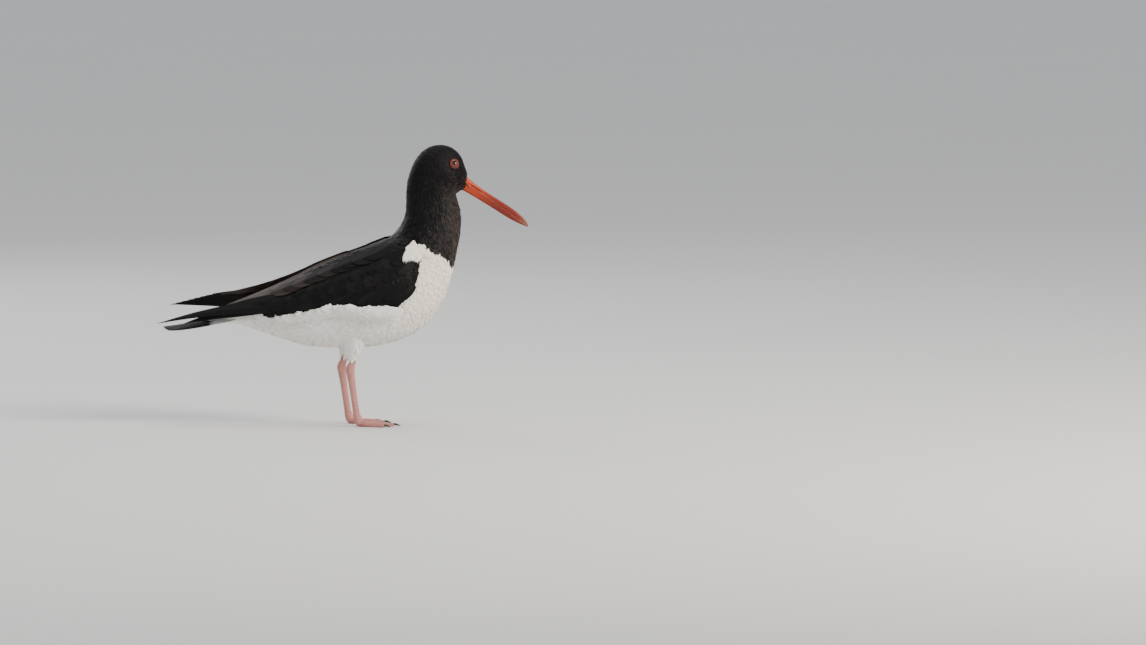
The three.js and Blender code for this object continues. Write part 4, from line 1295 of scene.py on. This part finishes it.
def makeGape():
    shape = Shape()
    for side in (1, -1):
        places = np.stack([onBill(at, up, side * out) for at, up, out in gape["line"]])
        radius = np.interp(np.linspace(0, 1, gape["rings"]), gape["share"], gape["radius"])
        rings = ringsRound(smoothLine(places, gape["rings"]), (radius, radius), gape["around"])
        shape.loft(rings, reach=0.02, rise=0.1, slit=0.0)
    piece = shape.piece("gape", billHorn)
    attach(piece, "root")


makeGape()
print("bill made")


# Rings of colour round the eye's own axis, with the radii in mm
irisLook = {
    "pupil": 2.15, "pupilSoft": 0.1, "rim": (3.6, 4.25), "redEdges": (1.9, 3.6),
    "black": (0.002, 0.002, 0.002), "rimColour": (0.03, 0.005, 0.004),
    "red": (0.11, 0.014, 0.009), "orange": (0.20, 0.036, 0.018),
}


def irisFinish(name, centre, out):
    look, soft = irisLook, irisLook["pupilSoft"]
    made = Finish(
        name, IOR=1.4, Roughness=0.2, Specular_IOR_Level=0.25, Coat_Weight=0.55, Coat_Roughness=0.02)
    offset = made.node("ShaderNodeVectorMath", {"operation": "SUBTRACT"}, {
        0: made.place(), 1: tuple(centre * mm)})
    crossed = made.node("ShaderNodeVectorMath", {"operation": "CROSS_PRODUCT"}, {0: offset, 1: tuple(out)})
    away = made.node("ShaderNodeVectorMath", {"operation": "LENGTH"}, {0: crossed}, 1) * 1000.0
    mottle = made.noise(900.0, 3.0)
    redness = made.between(away + (mottle - 0.5) * 1.8, *look["redEdges"])
    colour = made.blend(redness, look["orange"], look["red"])
    colour = made.blend(made.between(away, *look["rim"]), colour, look["rimColour"])
    pupilEdge = made.between(away + (mottle - 0.5) * 0.1, look["pupil"] - soft, look["pupil"] + soft)
    made.feed("Base Color", made.blend(pupilEdge, look["black"], colour))
    return made.material


def ringFinish():
    look = {"dark": (0.125, 0.014, 0.008), "light": (0.21, 0.028, 0.014), "bump": 0.5, "bumpDepth": 0.0002}
    made = Finish("orbital_skin", Roughness=0.5, IOR=1.45, Specular_IOR_Level=0.3)
    mottle = made.noise(1500.0, 3.0)
    made.feed("Base Color", made.blend(mottle, look["dark"], look["light"]))
    made.bump(mottle, look["bump"], look["bumpDepth"])
    return made.material


orbitalSkin = ringFinish()


def closedTorus(rows, columns):
    row, column = np.arange(rows)[:, None], np.arange(columns)[None, :]
    nextRow, nextColumn = (row + 1) % rows, (column + 1) % columns
    corners = (row, column), (row, nextColumn), (nextRow, nextColumn), (nextRow, column)
    return np.stack([a * columns + b for a, b in corners], -1).reshape(-1, 4).tolist()


def makeEye(name):
    side = sides[name]
    out, rim, centre = eyeFrame(side)
    across = unit(np.cross(out, [0.0, 0.0, 1.0]))
    rise = np.cross(across, out)
    pupilAxis = unit(out + across * eye["pupilTurn"] * side + rise * eye["pupilTurn"])
    latitude = np.linspace(0.004, math.pi - 0.004, 48)
    a, b = np.meshgrid(latitude, np.linspace(0, 2 * math.pi, 64, endpoint=False), indexing="ij")
    ball = Shape()
    ball.loft(centre + eye["radius"] * (
        np.cos(a)[..., None] * out
        + (np.sin(a) * np.cos(b))[..., None] * across + (np.sin(a) * np.sin(b))[..., None] * rise))
    piece = ball.piece(f"eyeball_{name}", irisFinish(f"iris_{name}", centre, pupilAxis))
    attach(piece, "root")
    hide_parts(f"eye_{name}")
    turn = np.linspace(0, 2 * math.pi, 72, endpoint=False)
    roll = np.linspace(0, 2 * math.pi, 12, endpoint=False)
    spoke = np.cos(turn)[:, None] * across + np.sin(turn)[:, None] * rise
    wrinkle = (1 + eye["wrinkle"] * np.sin(turn * eye["wrinkles"]))[:, None]
    reach = (eye["ring"] + eye["lid"] * np.cos(roll) * wrinkle)[..., None]
    loops = rim + out * eye["ringRaised"] + spoke[:, None] * reach
    loops = loops + out * (eye["lid"] * np.sin(roll) * wrinkle)[..., None]
    ring = Shape()
    ring.add(loops, closedTorus(*loops.shape[:2]))
    lids = ring.piece(f"eye_ring_{name}", orbitalSkin)
    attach(lids, "root")


for name in sides:
    makeEye(name)
print("eyes made")


def legFinish():
    look = {
        "pink": (0.52, 0.185, 0.155), "grey": (0.37, 0.175, 0.160), "pale": (0.62, 0.33, 0.28),
        "cellScale": 620.0, "mottleScale": 150.0, "plateEdges": (0.0, 0.22), "greyEdges": (0.35, 0.7),
        "paleShare": 0.55, "roughness": 0.6, "smoother": 0.16, "bump": 0.6, "bumpDepth": 0.0003,
    }
    made = Finish("leg_scales", Roughness=0.5, IOR=1.45, Subsurface_Weight=0.1, Subsurface_Scale=0.002)
    cells = made.node("ShaderNodeTexVoronoi", {"feature": "DISTANCE_TO_EDGE"}, {
        "Vector": made.place(), "Scale": look["cellScale"]}, "Distance")
    mottle = made.noise(look["mottleScale"], 4.0)
    plate = made.between(cells, *look["plateEdges"])
    colour = made.blend(made.between(mottle, *look["greyEdges"]), look["pink"], look["grey"])
    made.feed("Base Color", made.blend(plate * look["paleShare"], colour, look["pale"]))
    made.feed("Roughness", look["roughness"] - plate * look["smoother"] + (mottle - 0.5) * 0.2)
    made.bump(plate + mottle * 0.3, look["bump"], look["bumpDepth"])
    return made.material


def clawFinish():
    look = {"black": (0.016, 0.013, 0.012), "brown": (0.06, 0.045, 0.038), "bump": 0.3, "bumpDepth": 0.0001}
    made = Finish("claw_horn", Roughness=0.38, IOR=1.5)
    made.feed("Base Color", made.blend(made.noise(400.0), look["black"], look["brown"]))
    made.bump(made.noise(900.0), look["bump"], look["bumpDepth"])
    return made.material


legScales = legFinish()
clawHorn = clawFinish()


def toeLine(name, toe):
    ahead, y = leg["ahead"][name], -sides[name] * leg["halfSpread"]
    length, turn = leg["toes"][toe]
    angle = math.radians(-sides[name] * turn)
    root = np.array([leg["foot"][0] + ahead, y, 0.0])
    return root, np.array([math.cos(angle), math.sin(angle), 0.0]), length


def shankRings(name):
    ahead, y = leg["ahead"][name], -sides[name] * leg["halfSpread"]
    joints = {"ankle": leg["ankle"], "foot": leg["foot"]}
    joints["between"] = [mixed(a, b, leg["between"]) for a, b in zip(leg["ankle"], leg["foot"])]
    given = [
        (joints[joint][0] + forward + ahead, y * out, joints[joint][1] + up, across, deep)
        for joint, forward, out, up, across, deep in leg["shank"]]
    line = smoothLine(given, 120)
    return ringsRound(line[:, :3], (line[:, 3], line[:, 4]), 32)


def toeRings(name, toe):
    root, heading, length = toeLine(name, toe)
    fine = smoothLine(leg["toe"], 50)
    centre = root + heading * (fine[:, :1] * length) + np.array([0, 0, 1.0]) * fine[:, 1:2]
    joints = 1 + leg["toeJoint"] * np.cos(fine[:, 0] * leg["toeJoints"] * 2 * np.pi)
    return ringsRound(centre, (fine[:, 2] * joints, fine[:, 2] * leg["toeFlat"] * joints), 24)


# The small web between the middle and the outer toe
def webRings(name):
    web, rings = leg["web"], []
    (rootA, headA, lengthA), (rootB, headB, lengthB) = toeLine(name, "middle"), toeLine(name, "outer")
    for share in np.linspace(web["from"], web["to"], 8):
        first, second = rootA + headA * lengthA * share, rootB + headB * lengthB * share
        thick = mixed(*web["thick"], share / web["to"])
        rim = [first + (second - first) * k for k in np.linspace(0, 1, 6)]
        upper = [point + [0, 0, web["height"] + thick] for point in rim]
        rings.append(upper + [point + [0, 0, web["height"] - thick] for point in rim[::-1]])
    return rings


def makeLeg(name):
    shape = Shape()
    shape.loft(shankRings(name))
    for toe in leg["toes"]:
        shape.loft(toeRings(name, toe))
    shape.loft(webRings(name))
    piece = remeshed(shape.piece(f"leg_{name}", None), leg["voxel"], leg["smoothing"])
    points = scutes(piece, pointsOf(piece), name)
    points[:, 2] = np.maximum(points[:, 2], 0.0)
    setPoints(piece, points)
    piece.data.materials.append(legScales)
    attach(piece, "root")
    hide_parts(f"shank_{name}", f"foot_{name}")


scuteCut = {
    "toeStep": 1.7, "shankStep": 2.1, "columns": 8, "height": 0.16, "level": 0.7,
    "footTop": 11, "shankTop": 66, "toeFrom": 5, "toeHalf": 3.2, "toePower": 0.5, "shankPower": 0.4,
}


# Raised cross plates on the front of the shank and on top of the toes
def scutes(piece, points, name):
    cut = scuteCut
    normals = np.zeros(len(piece.data.vertices) * 3)
    piece.data.vertices.foreach_get("normal", normals)
    normals = normals.reshape(-1, 3)
    upwards = normals[:, 2]
    moved = np.zeros(len(points))
    low = points[:, 2] < cut["footTop"]
    for toe in leg["toes"]:
        root, heading, length = toeLine(name, toe)
        forward = (points - root) @ heading
        sideways = np.abs((points - root) @ np.array([-heading[1], heading[0], 0]))
        on = low & (upwards > 0.1) & (sideways < cut["toeHalf"])
        on = on & (forward > cut["toeFrom"]) & (forward < length)
        wave = np.abs(np.sin(np.pi * forward / cut["toeStep"])) ** cut["toePower"]
        moved = np.where(on, (wave - cut["level"]) * cut["height"] * np.clip(upwards, 0, 1), moved)
    shank = ~low & (points[:, 2] < cut["shankTop"])
    angle = np.arctan2(normals[:, 1], normals[:, 0])
    row = points[:, 2] / cut["shankStep"]
    column = angle * cut["columns"] / (2 * np.pi) + 0.5 * (np.floor(row) % 2)
    cell = np.minimum(np.abs(np.sin(np.pi * row)), np.abs(np.sin(np.pi * column))) ** cut["shankPower"]
    moved = np.where(shank, (cell - cut["level"]) * cut["height"], moved)
    return points + normals * moved[:, None]


# Forward from its root inside the toe, height and radius of a claw
claw = {
    "inToe": 1.5, "flat": 0.8,
    "line": [(0, 2.1, 1.15), (3, 2.0, 1.05), (5.4, 1.3, 0.7), (7.2, 0.5, 0.25)],
}


def makeClaws(name):
    fine = smoothLine(claw["line"], 24)
    for toe in leg["toes"]:
        root, heading, length = toeLine(name, toe)
        forward = length - claw["inToe"] + fine[:, :1]
        centre = root + heading * forward + np.array([0, 0, 1.0]) * fine[:, 1:2]
        shape = Shape()
        shape.loft(ringsRound(centre, (fine[:, 2] * claw["flat"], fine[:, 2]), 16))
        piece = shape.piece(f"horn_{toe}_{name}", clawHorn)
        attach(piece, "root")
        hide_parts(f"claw_{toe}_{name}")


for name in sides:
    makeLeg(name)
    makeClaws(name)
print("legs made")


# The floor and the light
studio = {
    "floorRadius": 90, "floor": (0.74, 0.735, 0.72), "floorDarker": 0.97, "floorRoughness": 0.75,
    "world": (0.90, 0.92, 0.96), "worldStrength": 0.72, "aim": (0, 0, 0.12),
    "lights": [
        # name, place, size, power, colour
        ("key", (2.1, -1.2, 1.35), 0.8, 78, (1.0, 0.93, 0.83)),
        ("fill", (-1.6, -1.9, 0.9), 1.6, 8, (0.92, 0.96, 1.0)),
        ("top", (0.0, 0.2, 2.2), 1.6, 14, (1.0, 1.0, 1.0)),
        ("rim", (-1.0, 1.8, 1.2), 1.2, 12, (0.95, 0.97, 1.0)),
    ],
}


def makeStudio():
    world = bpy.data.worlds.new("studio")
    world.use_nodes = True
    background = world.node_tree.nodes["Background"]
    background.inputs["Color"].default_value = (*studio["world"], 1)
    background.inputs["Strength"].default_value = studio["worldStrength"]
    bpy.context.scene.world = world
    floor = Shape()
    turn = np.linspace(0, 2 * math.pi, 96, endpoint=False)
    circle = np.stack([np.cos(turn), np.sin(turn), np.zeros(96)], -1) * studio["floorRadius"] / mm
    floor.add(circle, [list(range(96))])
    finish = Finish("floor_paper", Roughness=studio["floorRoughness"])
    darker = tuple(studio["floorDarker"] * part for part in studio["floor"])
    finish.feed("Base Color", finish.blend(finish.noise(3.0), studio["floor"], darker))
    floor.piece("floor", finish.material, outward=False)
    for title, place, size, power, colour in studio["lights"]:
        data = bpy.data.lights.new(title, "AREA")
        data.size, data.energy, data.color = size, power, colour
        light = bpy.data.objects.new(title, data)
        light.location = place
        light.rotation_euler = (Vector(studio["aim"]) - Vector(place)).to_track_quat("-Z", "Y").to_euler()
        light.visible_camera = False
        bpy.context.scene.collection.objects.link(light)


makeStudio()
print("studio lit")
